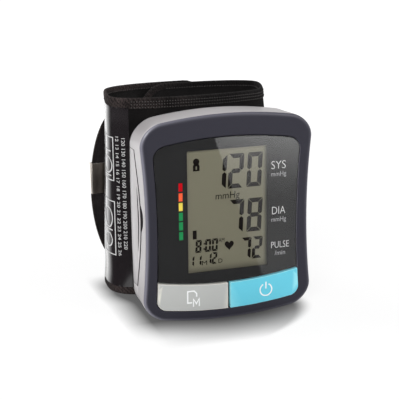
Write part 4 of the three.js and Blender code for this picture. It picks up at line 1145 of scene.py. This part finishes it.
def band_end_angle(x):
    """The angle at which the band's inner layer reaches a station on the left, found by halving."""
    low, high = 90.0, 180.0
    for _ in range(30):
        middle = (low + high) / 2
        low, high = (middle, high) if loop_point(middle, LAYER_STEP).x > x else (low, middle)
    return low


BAND = Path(OUTER_END, band_end_angle(INNER_END_X))


def band_faces(distance, height):
    """Depths of the band's outer and inner face: drawn together at its edges, softly uneven between."""
    edge = min(height - BAND_BOTTOM, BAND_TOP - height, distance, BAND.length - distance)
    full = smooth(0, 9, edge)
    uneven = noise.noise(Vector((distance * 0.07, height * 0.045, 3.0))) * 0.35
    uneven += noise.noise(Vector((distance * 0.2, height * 0.12, 7.0))) * 0.12
    outer = EDGE_DRAW * (1 - full) + uneven * full * 0.4
    inner = EDGE_THICKNESS + (BAND_THICKNESS - EDGE_THICKNESS) * full + uneven * full
    return outer, inner


def band_ring(distance):
    angle = BAND.angle(distance)
    low, high = BAND_BOTTOM, BAND_TOP
    for end, corner in ((distance, OUTER_CORNER), (BAND.length - distance, INNER_CORNER)):
        if end < corner:
            drop = corner - math.sqrt(max(corner ** 2 - (corner - end) ** 2, 0))
            low, high = max(low, BAND_BOTTOM + drop), min(high, BAND_TOP - drop)

    def place(share):
        side, along = divmod(share * 4, 1)
        side = int(side)
        along = along if side % 2 else 0.5 - 0.5 * math.cos(math.pi * along)
        height = (low + (high - low) * along, high, high - (high - low) * along, low)[side]
        outer, inner = band_faces(distance, height)
        across = (inner - outer) * along
        return cuff_point(angle, height, (outer, outer + across, inner, inner - across)[side])
    return place


def cloth_map(piece, path_length):
    """A map that follows the cuff: along its length and up its height."""
    mesh = piece.data
    layer = mesh.uv_layers.get("Cloth") or mesh.uv_layers.new(name="Cloth")
    for corner in mesh.loops:
        co = mesh.vertices[corner.vertex_index].co / MM
        turn = math.atan2((co.y - LOOP_Y) / LOOP_HALF_DEPTH, (co.x - LOOP_X) / LOOP_HALF_WIDTH)
        layer.data[corner.index].uv = (turn / math.tau * path_length / 100, co.z / 100)


def make_band():
    steps = 190
    ends = [INNER_CORNER * (1 - math.cos(math.pi / 2 * i / 10)) for i in range(11)]
    stations = [OUTER_CORNER * i / 3 for i in range(3)]
    stations += [OUTER_CORNER + (BAND.length - OUTER_CORNER - INNER_CORNER) * i / steps for i in range(steps)]
    stations += [BAND.length - end for end in reversed(ends)]
    bm = loft([band_ring(distance) for distance in stations], 96)
    band = as_object("cuff_band", bm)
    for face in band.data.polygons:
        face.material_index = 0 if is_outward(face.center / MM, face.normal) else 1
    cloth_map(band, BAND.length)
    finished(band, [LOOP_CLOTH, LINING], angle=60, replaces=[
        "cuff_cover_front", "cuff_cover_left", "cuff_cover_back", "cuff_cover_right", "cuff_inner_end",
        "cuff_lining", "air_bladder"])


def is_outward(centre, normal):
    out = Vector(((centre.x - LOOP_X) / LOOP_HALF_WIDTH ** 2, (centre.y - LOOP_Y) / LOOP_HALF_DEPTH ** 2, 0))
    return out.dot(Vector(normal)) > 0


def band_edge():
    """Stations round the band's outline: distance, height, and the direction inwards in both."""
    length, low, high, step = BAND.length, BAND_BOTTOM, BAND_TOP, 1.4
    stations = []

    def straight(x0, z0, x1, z1, inward):
        count = max(int(math.hypot(x1 - x0, z1 - z0) / step), 1)
        for i in range(count):
            stations.append((x0 + (x1 - x0) * i / count, z0 + (z1 - z0) * i / count, *inward))

    def corner(x, z, radius, start):
        count = max(int(radius * math.pi / 2 / step), 4)
        for i in range(count):
            turn = start - math.pi / 2 * i / count
            stations.append((x + radius * math.cos(turn), z + radius * math.sin(turn),
                             -math.cos(turn), -math.sin(turn)))

    outer, inner = OUTER_CORNER, INNER_CORNER
    straight(outer, high, length - inner, high, (0, -1))
    corner(length - inner, high - inner, inner, math.pi / 2)
    straight(length, high - inner, length, low + inner, (-1, 0))
    corner(length - inner, low + inner, inner, 0)
    straight(length - inner, low, outer, low, (0, 1))
    corner(outer, low + outer, outer, -math.pi / 2)
    straight(0, low + outer, 0, high - outer, (1, 0))
    corner(outer, high - outer, outer, -math.pi)
    return stations


def tape_ring(station):
    """The folded tape's section at a station: outer skin one way, inner skin back."""
    distance, height, across, up = station
    tape, lay, edge = 0.3, 0.12, 0.5
    skin, fold, bulge = 0.38, 0.24, 0.9

    def place(share):
        outside = share < 0.5
        along = share * 2 if outside else 2 - share * 2
        lift = lay + (tape if outside else 0)
        in_outer, in_inner = along < skin, along > skin + fold
        inward = edge
        if in_outer:
            inward += (TAPE_HEM - edge) * (1 - along / skin)
        elif in_inner:
            inward += (INNER_HEM - edge) * (1 - (1 - along) / skin)
        at = (distance + across * inward, height + up * inward)
        outer, inner = band_faces(*at)
        if in_outer or in_inner:
            return cuff_point(BAND.angle(at[0]), at[1], outer - lift if in_outer else inner + lift)
        turn = (along - skin) / fold * math.pi
        middle, half = (outer + inner) / 2, (inner - outer) / 2 + lift
        out = edge - math.sin(turn) * (bulge + lift)
        angle = BAND.angle(distance + across * out)
        return cuff_point(angle, height + up * out, middle - math.cos(turn) * half)
    return place


def make_tape():
    stations = band_edge()
    tape = as_object("cuff_binding", loft([tape_ring(s) for s in stations], 48, closed=True))
    length_map(tape, stations, 48)
    finished(tape, [TAPE], replaces=["binding_top", "binding_bottom"], angle=60)


def length_map(piece, stations, count):
    """A map along a lofted piece: across its section, and along its stations."""
    layer = piece.data.uv_layers.new(name="Cloth")
    for corner in piece.data.loops:
        index = corner.vertex_index
        layer.data[corner.index].uv = (index % count / count, index // count / len(stations))


def bead(bm, centre, along, out, length, width):
    """One stitch: a low bead that lies along a direction on a surface."""
    side = along.cross(out)
    turn = Matrix((along * length / 2, side * width / 2, out * width / 2)).transposed().to_4x4()
    bmesh.ops.create_uvsphere(bm, u_segments=6, v_segments=4, radius=1,
                              matrix=Matrix.Translation(centre) @ turn)


def stitch_row(bm, places, length=0.6, pitch=1.1):
    """Stitches along a line of (point, outward direction)."""
    carried, width = 0.0, 0.4
    for (here, out), (there, _) in zip(places, places[1:]):
        step = there - here
        size = step.length
        while carried <= size:
            along = step.normalized()
            out_here = (out - along * out.dot(along)).normalized()
            bead(bm, here + step * (carried / size), along, out_here, length, width)
            carried += pitch
        carried -= size


def edge_row(inward, side, edge):
    """Lines inside the band's top or bottom edge, on its outer or inner face, but not beside the vinyl."""
    runs, proud = [[]], 0.52
    count = int(BAND.length / 1.2)
    height = BAND_TOP - inward if edge > 0 else BAND_BOTTOM + inward
    for i in range(3, count - 9):
        distance = BAND.length * i / count
        outer, inner = band_faces(distance, height)
        depth = outer - proud if side > 0 else inner + proud
        angle = BAND.angle(distance)
        if side > 0 and LABEL_FROM - 30 < angle < LABEL_TO + 3:
            if runs[-1]:
                runs.append([])
            continue
        here = cuff_point(angle, height, depth)
        out = cuff_point(angle, height, depth - side) - here
        runs[-1].append((here, Vector((out.x, out.y, 0)).normalized()))
    return runs


def make_stitches():
    bm = bmesh.new()
    for inward, side, edge in ((0.7, 1, 1), (1.8, 1, 1), (3.0, 1, 1), (3.0, 1, -1), (1.3, -1, 1)):
        for run in edge_row(inward, side, edge):
            stitch_row(bm, run)
    finished(as_object("cuff_stitches", bm), [THREAD])


# Vinyl label panel and its plain marks
LABEL_FROM, LABEL_TO = -212, -134
LABEL_LOW, LABEL_HIGH = BAND_BOTTOM + TAPE_HEM - 0.6, BAND_TOP - TAPE_HEM + 0.6
LABEL = Path(LABEL_FROM, LABEL_TO, layer=lambda angle: 0)


def label_point(distance, height, proud=0.0):
    """A point on the panel: distance from its back edge, height, and how far it stands proud."""
    angle = LABEL.angle(distance)
    edge = min(height - LABEL_LOW, LABEL_HIGH - height)
    dent = noise.noise(Vector((distance * 0.16, height * 0.1, 21.0))) * 0.06
    return cuff_point(angle, height, dent - 0.24 - 0.1 * smooth(0, 7, edge) - proud)


def make_label():
    def place(u, v):
        height = LABEL_LOW + (LABEL_HIGH - LABEL_LOW) * v
        ragged = noise.noise(Vector((u * 6, 4.0, 1.0))) * 0.25 * (v > 0.99)
        return label_point(LABEL.length * u, height + ragged)
    bm = sheet(56, 72, place, thickness=0.3)
    panel = as_object("label_panel_vinyl", bm)
    soften(panel, 0.12, segments=2, angle=60)
    finished(panel, [VINYL], replaces=["label_panel"], angle=60)


def on_label(bm):
    """Bends a flat mark, drawn as distance along X and height along Z, onto the panel."""
    for vert in bm.verts:
        vert.co = label_point(vert.co.x, vert.co.z, 0.1 - vert.co.y)
    bmesh.ops.recalc_face_normals(bm, faces=bm.faces)
    return bm


def turned_lettering(text, x, z, height, width):
    """Lettering that reads downwards: its foot towards the left, from a top end at z."""
    bm = lettering(text, 0, 0, height, width, 0)
    for vert in bm.verts:
        vert.co.x, vert.co.z = x + vert.co.z, z - vert.co.x
    return bm


def frame_marks(x0, x1, z0, z1, line):
    """A plain frame of four bars, fine enough to bend onto the panel."""
    bars = [sheet(12, 12, lambda u, v: Vector((a + (b - a) * u, 0, c + (d - c) * v)))
            for a, b, c, d in ((x0, x1, z0, z0 + line), (x0, x1, z1 - line, z1),
                               (x0, x0 + line, z0 + line, z1 - line), (x1 - line, x1, z0 + line, z1 - line))]
    return plates(joined(*bars), PRINT_THICKNESS)


def make_label_marks():
    """Two plain frames with rings and bars, and two columns of numbers."""
    frame_left, frame_right, line, stroke = 11.4, 19.4, 0.4, 0.5
    inner = " ".join(str(number) for number in range(12, 27))
    outer = " ".join(str(number) for number in range(120, 221, 10))
    parts = [turned_lettering(inner, 20.45, 69.8, 1.35, 49.5),
             turned_lettering(outer, 22.9, 69.2, 1.55, 46.0)]
    parts += [frame_marks(frame_left, frame_right, low, high, line)
              for low, high in ((51.4, 69.4), (20.2, 43.0))]
    signs = bmesh.new()
    circle = circle_corners(0, 0, 1, 30) + [(1, 0)]
    for x, z, wide, high in ((15.3, 57.6, 3.1, 3.4), (15.3, 35.6, 2.6, 4.2), (15.3, 26.2, 2.2, 2.9)):
        stroke_path(signs, [(x + wide * a, z + high * b) for a, b in circle], stroke, 0)
    for z in (53.4, 63.4, 30.6):
        stroke_path(signs, [(12.8 + i * 0.5, z) for i in range(11)], stroke, 0)
    parts.append(plates(signs, PRINT_THICKNESS))
    finished(as_object("label_marks", on_label(joined(*parts))), [PRINT])


# Fastening strap with its free tongue
STRAP_CENTRE, STRAP_HALF = 40.9, 34.1
STRAP_FROM, STRAP_TO = -6, 98
STRAP_THICKNESS = 1.2
STRAP_OUT = -0.9 - STRAP_THICKNESS / 2
TONGUE_X, TONGUE_TIP = -27.0, -40.6
TONGUE_REACH = TONGUE_X - TONGUE_TIP
STRAP_Y = LOOP_Y + LOOP_HALF_DEPTH + 0.9 + STRAP_THICKNESS / 2
STRAP = Path(STRAP_FROM, STRAP_TO, layer=lambda angle: -0.9)


def strap_half(distance):
    """Half the strap's height: narrower at its sewn end, which the case hides."""
    return STRAP_HALF - 6.0 * (1 - smooth(0, 22, distance))


def strap_line(distance):
    """The strap's middle line: its point seen from above, its outward direction and its half height."""
    if distance <= STRAP.length:
        angle = STRAP.angle(distance)
        here, out = loop_point(angle, STRAP_OUT), loop_point(angle, STRAP_OUT - 1)
        return here, out - here, strap_half(distance)
    last = loop_point(STRAP_TO, STRAP_OUT)
    x = last.x - (distance - STRAP.length)
    settle = smooth(0, 8, distance - STRAP.length)
    y = last.y + (STRAP_Y - last.y) * settle
    reach = max((TONGUE_X - x) / TONGUE_REACH, 0)
    return Vector((x, y)), Vector((0, 1)), STRAP_HALF * math.sqrt(max(1 - min(reach, 1) ** 2, 0))


STRAP_LENGTH = STRAP.length + loop_point(STRAP_TO, STRAP_OUT).x - TONGUE_TIP
STRAIGHT_LENGTH = STRAP_LENGTH - TONGUE_REACH


def strap_point(distance, share, proud):
    """A point of the strap: along it, across it from -1 to 1, and proud of its middle."""
    here, out, half = strap_line(distance)
    flat = here + out * proud
    return lifted(flat.x, flat.y, STRAP_CENTRE + half * share, leaning=0)


def strap_ring(distance):
    def place(share):
        side, along = divmod(share * 4, 1)
        side = int(side)
        across = (-1 + 2 * along, 1, 1 - 2 * along, -1)[side]
        thick = STRAP_THICKNESS / 2 * (1 - 0.45 * smooth(0.94, 1.0, abs(across)))
        proud = (thick, thick - 2 * thick * along, -thick, -thick + 2 * thick * along)[side]
        loose = noise.noise(Vector((distance * 0.06, across * 1.4, 11.0))) * 0.18
        return strap_point(distance, across, proud + loose)
    return place


def strap_stations():
    stations = [STRAIGHT_LENGTH * i / 90 for i in range(90)]
    stations += [STRAIGHT_LENGTH + TONGUE_REACH * math.sin(math.pi / 2 * i / 28) for i in range(28)]
    return stations + [STRAP_LENGTH - 0.02]


def across_hinge(piece):
    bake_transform(piece)


def make_strap():
    strap = as_object("fastening_strap_cloth", loft([strap_ring(d) for d in strap_stations()], 64))
    cloth_map(strap, 120.0)
    finished(strap, [STRAP_CLOTH], body=None, angle=60,
             replaces=["fastening_strap", "strap_tongue"])
    across_hinge(strap)


def strap_place(distance, height):
    """A place in the strap, at a height from its middle line, and the direction outwards."""
    here, out, _ = strap_line(distance)
    return lifted(here.x, here.y, STRAP_CENTRE + height, leaning=0), Vector((out.x, out.y, 0)).normalized()


def strap_border(inset_by):
    """The strap's edge along its top, round its tip and back along its foot, drawn in by an amount."""
    steps, tip_steps = 80, 60
    along = [inset_by + (STRAIGHT_LENGTH - inset_by) * i / steps for i in range(steps)]
    places = [strap_place(distance, strap_line(distance)[2] - inset_by) for distance in along]
    for i in range(tip_steps + 1):
        turn = math.pi / 2 - math.pi * i / tip_steps
        places.append(strap_place(STRAIGHT_LENGTH + (TONGUE_REACH - inset_by) * math.cos(turn),
                                  (STRAP_HALF - inset_by) * math.sin(turn)))
    back = [STRAIGHT_LENGTH + (inset_by - STRAIGHT_LENGTH) * i / steps for i in range(1, steps + 1)]
    return places + [strap_place(distance, inset_by - strap_line(distance)[2]) for distance in back]


def make_strap_edging():
    """Overlocked edge: a cord of thread round the strap's border and up its sewn end."""
    inset_by, steps = 0.2, 24
    half = strap_line(inset_by)[2] - inset_by
    places = strap_border(inset_by)
    places += [strap_place(inset_by, half * (-1 + 2 * i / steps)) for i in range(1, steps)]
    rings = []
    for i, (here, out) in enumerate(places):
        before, after = places[i - 1][0], places[(i + 1) % len(places)][0]
        side = (after - before).normalized().cross(out).normalized()
        rings.append(partial(edging_point, here, out, side))
    edging = as_object("strap_edging", loft(rings, 12, closed=True))
    length_map(edging, places, 12)
    finished(edging, [TAPE], body=None, angle=60)
    across_hinge(edging)


def edging_point(here, out, side, share):
    turn = math.tau * share
    return here + out * (0.72 * math.cos(turn)) + side * (0.6 * math.sin(turn))


def make_strap_stitches():
    """A row inside the strap's edge, and two rows across its sewn end."""
    bm = bmesh.new()
    surface = STRAP_THICKNESS / 2
    rows = [[(here + out * (surface + 0.02), out) for here, out in strap_border(2.2)]]
    for distance in (1.6, 4.2):
        out = strap_line(distance)[1].to_3d()
        shares = [(-1 + 2 * i / 39) * 0.93 for i in range(40)]
        rows.append([(strap_point(distance, share, surface + 0.04), out) for share in shares])
    for row in rows:
        stitch_row(bm, row, length=0.9, pitch=1.7)
    across_hinge(finished(as_object("strap_stitches", bm), [THREAD], body=None))


def make_hook_patch():
    path = Path(58, 96, layer=lambda angle: 0)
    half = 30.0

    def place(u, v):
        flat = loop_point(path.angle(path.length * u), -0.3)
        return lifted(flat.x, flat.y, STRAP_CENTRE - half + 2 * half * v, leaning=0)
    patch = as_object("hook_tape", sheet(24, 40, place, thickness=0.4))
    finished(patch, [HOOKS], replaces=["hook_patch"])


def make_tip_clip():
    """Folded sheet over the tongue's tip: two cheeks and a round fold, with a painted highlight, a paler
    metal, on faces that look left or up.
    """
    low, high = 39.3, 52.4
    left, right = -41.2, -32.0
    front, back = 42.6, 45.3
    gauge, fold = 0.55, 1.2
    outer = clip_section(left, right, front, back, fold)
    inner = clip_section(left + gauge, right, front + gauge, back - gauge, fold - 0.4)
    section = outer + list(reversed(inner))
    rings = [partial(clip_point, section, z + CUFF_LIFT) for z in (low, high)]
    clip = as_object("tip_clip_metal", loft(rings, len(section)))
    soften(clip, 0.14, segments=3, angle=50)
    # Faces that look left or up take the paler nickel: a painted highlight.
    for face in clip.data.polygons:
        face.material_index = 1 if face.normal.x < -0.45 or 0.2 < face.normal.z < 0.95 else 0
    finished(clip, [NICKEL, NICKEL_HIGHLIGHT], body="tongue", replaces=["tip_clip"], angle=50)


def clip_section(left, right, front, back, fold):
    """Points from the front cheek's free end, round the fold, to the back cheek's free end."""
    points = [(right, front)]
    for i in range(9):
        turn = math.pi / 2 * i / 8
        points.append((left + fold - fold * math.sin(turn), front + fold - fold * math.cos(turn)))
    for i in range(9):
        turn = math.pi / 2 * i / 8
        points.append((left + fold - fold * math.cos(turn), back - fold + fold * math.sin(turn)))
    return points + [(right, back)]


def clip_point(section, z, share):
    x, y = section[int(round(share * len(section))) % len(section)]
    return Vector((x, y, z))


# Studio
def seen_by(tree, *kinds):
    """1 for rays of these kinds that no dull surface has scattered."""
    light = node(tree, "ShaderNodeLightPath")
    seen = light.outputs[kinds[0]]
    for kind in kinds[1:]:
        seen = sums(tree, "MAXIMUM", seen, light.outputs[kind])
    return sums(tree, "MULTIPLY", seen, sums(tree, "LESS_THAN", light.outputs["Diffuse Depth"], 0.5))


def under_object(tree):
    """A painted shadow drawn as a fixed shape: how open the floor is, least under the object, 1 clear of it,
    with a longer shadow in front.
    """
    x, y, _ = split(tree, object_place(tree))
    under_cuff = ranged(tree, y, 0.014, 0.030, eased=True)
    left = sums(tree, "SUBTRACT", -0.0305, sums(tree, "MULTIPLY", under_cuff, 0.0045))
    left_end = sums(tree, "SUBTRACT", -0.0425, sums(tree, "MULTIPLY", under_cuff, 0.001))
    front = sums(tree, "MAXIMUM", sums(tree, "SUBTRACT", -0.006, y), 0.0)
    rounding = sums(tree, "MULTIPLY", front, front)
    right = sums(tree, "SUBTRACT", 0.029, sums(tree, "MULTIPLY", rounding, 25.0))
    right_end = sums(tree, "SUBTRACT", 0.0385, sums(tree, "MULTIPLY", rounding, 30.0))
    spread = ranged(tree, y, -0.008, -0.0285, 0.09, 0.95)
    far_left = sums(tree, "POWER", ranged(tree, x, 0.0, -0.036), 1.8)
    far_right = sums(tree, "POWER", ranged(tree, x, 0.0, 0.036), 3.0)
    ahead = sums(tree, "POWER", ranged(tree, y, -0.012, -0.0385), 1.5)
    behind = ranged(tree, y, 0.038, 0.058, eased=True)
    covered = 0.93
    for clear in (ranged(tree, x, left, left_end), ranged(tree, x, right, right_end, eased=True),
                  sums(tree, "MULTIPLY", spread, far_left), sums(tree, "MULTIPLY", spread, far_right),
                  ahead, behind):
        covered = sums(tree, "MULTIPLY", covered, sums(tree, "SUBTRACT", 1.0, clear))
    return sums(tree, "SUBTRACT", 1.0, covered)


def make_floor():
    """Pale floor with a painted shadow, dark where the object stands close over it."""
    half_width, below = 6000, 0.00005
    pale, seen_pale = 0.86, 0.2
    bm = bmesh.new()
    bmesh.ops.create_grid(bm, x_segments=1, y_segments=1, size=half_width)
    floor = as_object("floor", bm)
    floor.data.transform(Matrix.Translation((0, 0, -below)))
    material, tree, shader = base("Pale floor", 0.9, Specular_IOR_Level=0.0, Emission_Color=(1, 1, 1, 1))
    share = under_object(tree)
    seen = seen_by(tree, "Is Camera Ray", "Is Glossy Ray", "Is Transmission Ray")
    level = sums(tree, "MULTIPLY", ranged(tree, seen, 0.0, 1.0, pale, seen_pale), share)
    coated(tree, shader, node(tree, "ShaderNodeCombineColor", {0: level, 1: level, 2: level}).outputs[0])
    away = vectors(tree, "LENGTH", object_place(tree))["Value"]
    glow = sums(tree, "MULTIPLY", ranged(tree, away, 0.08, 0.6, 0.86, 1.0), share)
    tree.links.new(sums(tree, "MULTIPLY", seen, glow), shader.inputs["Emission Strength"])
    floor.data.materials.append(material)


def make_world():
    """White behind the object, and a dimmer studio in front of it, which only gloss shows."""
    ambient = 0.3
    world = bpy.data.worlds.new("Studio")
    scene.world = world
    world.use_nodes = True
    tree = world.node_tree
    tree.nodes.clear()
    glossy = node(tree, "ShaderNodeLightPath").outputs["Is Glossy Ray"]
    ahead = split(tree, node(tree, "ShaderNodeTexCoord").outputs["Generated"])[1]
    gloss = ranged(tree, ahead, -0.5, 0.8, 0.12, 1.0, eased=True)
    strength = node(tree, "ShaderNodeMix", {"Factor": glossy, "A": ambient, "B": gloss}).outputs[0]
    strength = sums(tree, "MAXIMUM", strength, seen_by(tree, "Is Camera Ray", "Is Transmission Ray"))
    sky = node(tree, "ShaderNodeBackground", {"Color": (1, 1, 1, 1), "Strength": strength})
    node(tree, "ShaderNodeOutputWorld", {"Surface": sky.outputs[0]})


def lamp(name, place, aim, size, radiance):
    light = bpy.data.lights.new(name, "AREA")
    light.shape = "RECTANGLE"
    light.size, light.size_y = size
    light.energy = radiance * math.pi * size[0] * size[1]
    holder = bpy.data.objects.new(name, light)
    holder.location = place
    holder.rotation_euler = (Vector(aim) - Vector(place)).to_track_quat("-Z", "Y").to_euler()
    scene.collection.objects.link(holder)


def make_lights():
    centre = (0, 0.01, 0.045)
    lamp("key", (-0.62, -0.95, 0.62), centre, (0.5, 0.5), 9.8)
    lamp("fill", (0.75, -0.85, 0.5), centre, (0.6, 0.6), 4.6)
    lamp("side", (-0.85, 0.32, 0.34), centre, (0.28, 0.8), 2.2)
    lamp("top", (-0.42, 0.42, 0.95), centre, (0.35, 0.35), 4.8)


CAMERA_PLACE = Vector((-0.14687, -0.41131, 0.15929))
CAMERA_TURN = (math.radians(75.3191), math.radians(0.6317), math.radians(-18.9135))


def make_camera():
    camera = bpy.data.cameras.new("camera")
    camera.lens = 102.2
    camera.sensor_width = 36
    holder = bpy.data.objects.new("camera", camera)
    holder.location = CAMERA_PLACE
    holder.rotation_euler = CAMERA_TURN
    scene.collection.objects.link(holder)
    scene.camera = holder


def make_card(name, bm, strength):
    """A card on the table that only gloss shows, with its light's strength worked out in its material."""
    card = as_object(name, bm)
    material = bpy.data.materials.new(name)
    material.use_nodes = True
    tree = material.node_tree
    tree.nodes.clear()
    shine = node(tree, "ShaderNodeEmission", {"Color": (1, 1, 1, 1), "Strength": strength(tree)})
    node(tree, "ShaderNodeOutputMaterial", {"Surface": shine.outputs[0]})
    card.data.materials.append(material)
    card.visible_camera = card.visible_diffuse = card.visible_shadow = card.visible_transmission = False
    return card


def table_light(tree):
    """Dark left of a line on the table, and paler right of it, with a brighter patch."""
    near, far = Vector((32, -57)) * MM, Vector((114, -351)) * MM
    patch_centre, patch_radius = (0.19, -0.34, 0), 0.2
    place = object_place(tree)
    along = (far - near).normalized()
    right = Vector((-along.y, along.x, 0))
    past = vectors(tree, "DOT_PRODUCT", place, right)["Value"]
    edge, soft = right.to_2d().dot(near), 0.0006
    side = ranged(tree, past, edge - soft, edge + soft, 0.03, 0.56)
    span = vectors(tree, "DISTANCE", place, patch_centre)["Value"]
    patch = sums(tree, "MULTIPLY", sums(tree, "POWER", ranged(tree, span, patch_radius, 0.0), 1.5), 2.4)
    lit = ranged(tree, past, edge, edge + soft)
    return sums(tree, "ADD", side, sums(tree, "MULTIPLY", patch, lit))


def make_table_card():
    """What the window reflects of the table in front."""
    bm = block(-900, 900, -1600, -16, 0.1, 0.2)
    bmesh.ops.delete(bm, geom=[face for face in bm.faces if face.normal.z < 0.5], context="FACES")
    make_card("table_card", bm, table_light).visible_transmission = True


def side_light(tree):
    """Dark beside the object, and lit in a fan behind it."""
    start = Vector((-38, 22, 0)) * MM
    away = vectors(tree, "SUBTRACT", object_place(tree), start)[0]
    span = vectors(tree, "LENGTH", away)["Value"]
    behind = sums(tree, "DIVIDE", split(tree, away)[1], span)
    fan = ranged(tree, behind, 0.2, 0.78, 0.04, 2.1, eased=True)
    return sums(tree, "MULTIPLY", fan, ranged(tree, span, 0.008, 0.035))


def make_side_card():
    """What the vinyl reflects of the table at the left."""
    bm = bmesh.new()
    corners = ((-50, -16), (-50, 900), (-1200, 900), (-1200, -16))
    bm.faces.new([bm.verts.new((x, y, 0.15)) for x, y in reversed(corners)])
    make_card("side_card", bm, side_light)


def main():
    dress_frame()
    make_camera()
    make_front_frame()
    make_window()
    make_key("memory_key_cap", -1, KEY_GREY, KEY_GREY_EDGE_HIGHLIGHT, "memory_button")
    make_key("power_key_cap", 1, KEY_BLUE, KEY_BLUE_EDGE_HIGHLIGHT, "power_button")
    make_shell()
    make_battery_tray()
    make_battery_cover()
    make_cell("cell_outer", -27.0, True, "battery_cell_outer")
    make_cell("cell_inner", -16.2, False, "battery_cell_inner")
    make_display_marks()
    make_window_print()
    make_key_signs()
    make_band()
    make_tape()
    make_stitches()
    make_label()
    make_label_marks()
    make_strap()
    make_strap_edging()
    make_strap_stitches()
    make_hook_patch()
    make_tip_clip()
    make_floor()
    make_world()
    make_lights()
    make_table_card()
    make_side_card()
    scene.view_settings.view_transform = "Standard"


main()
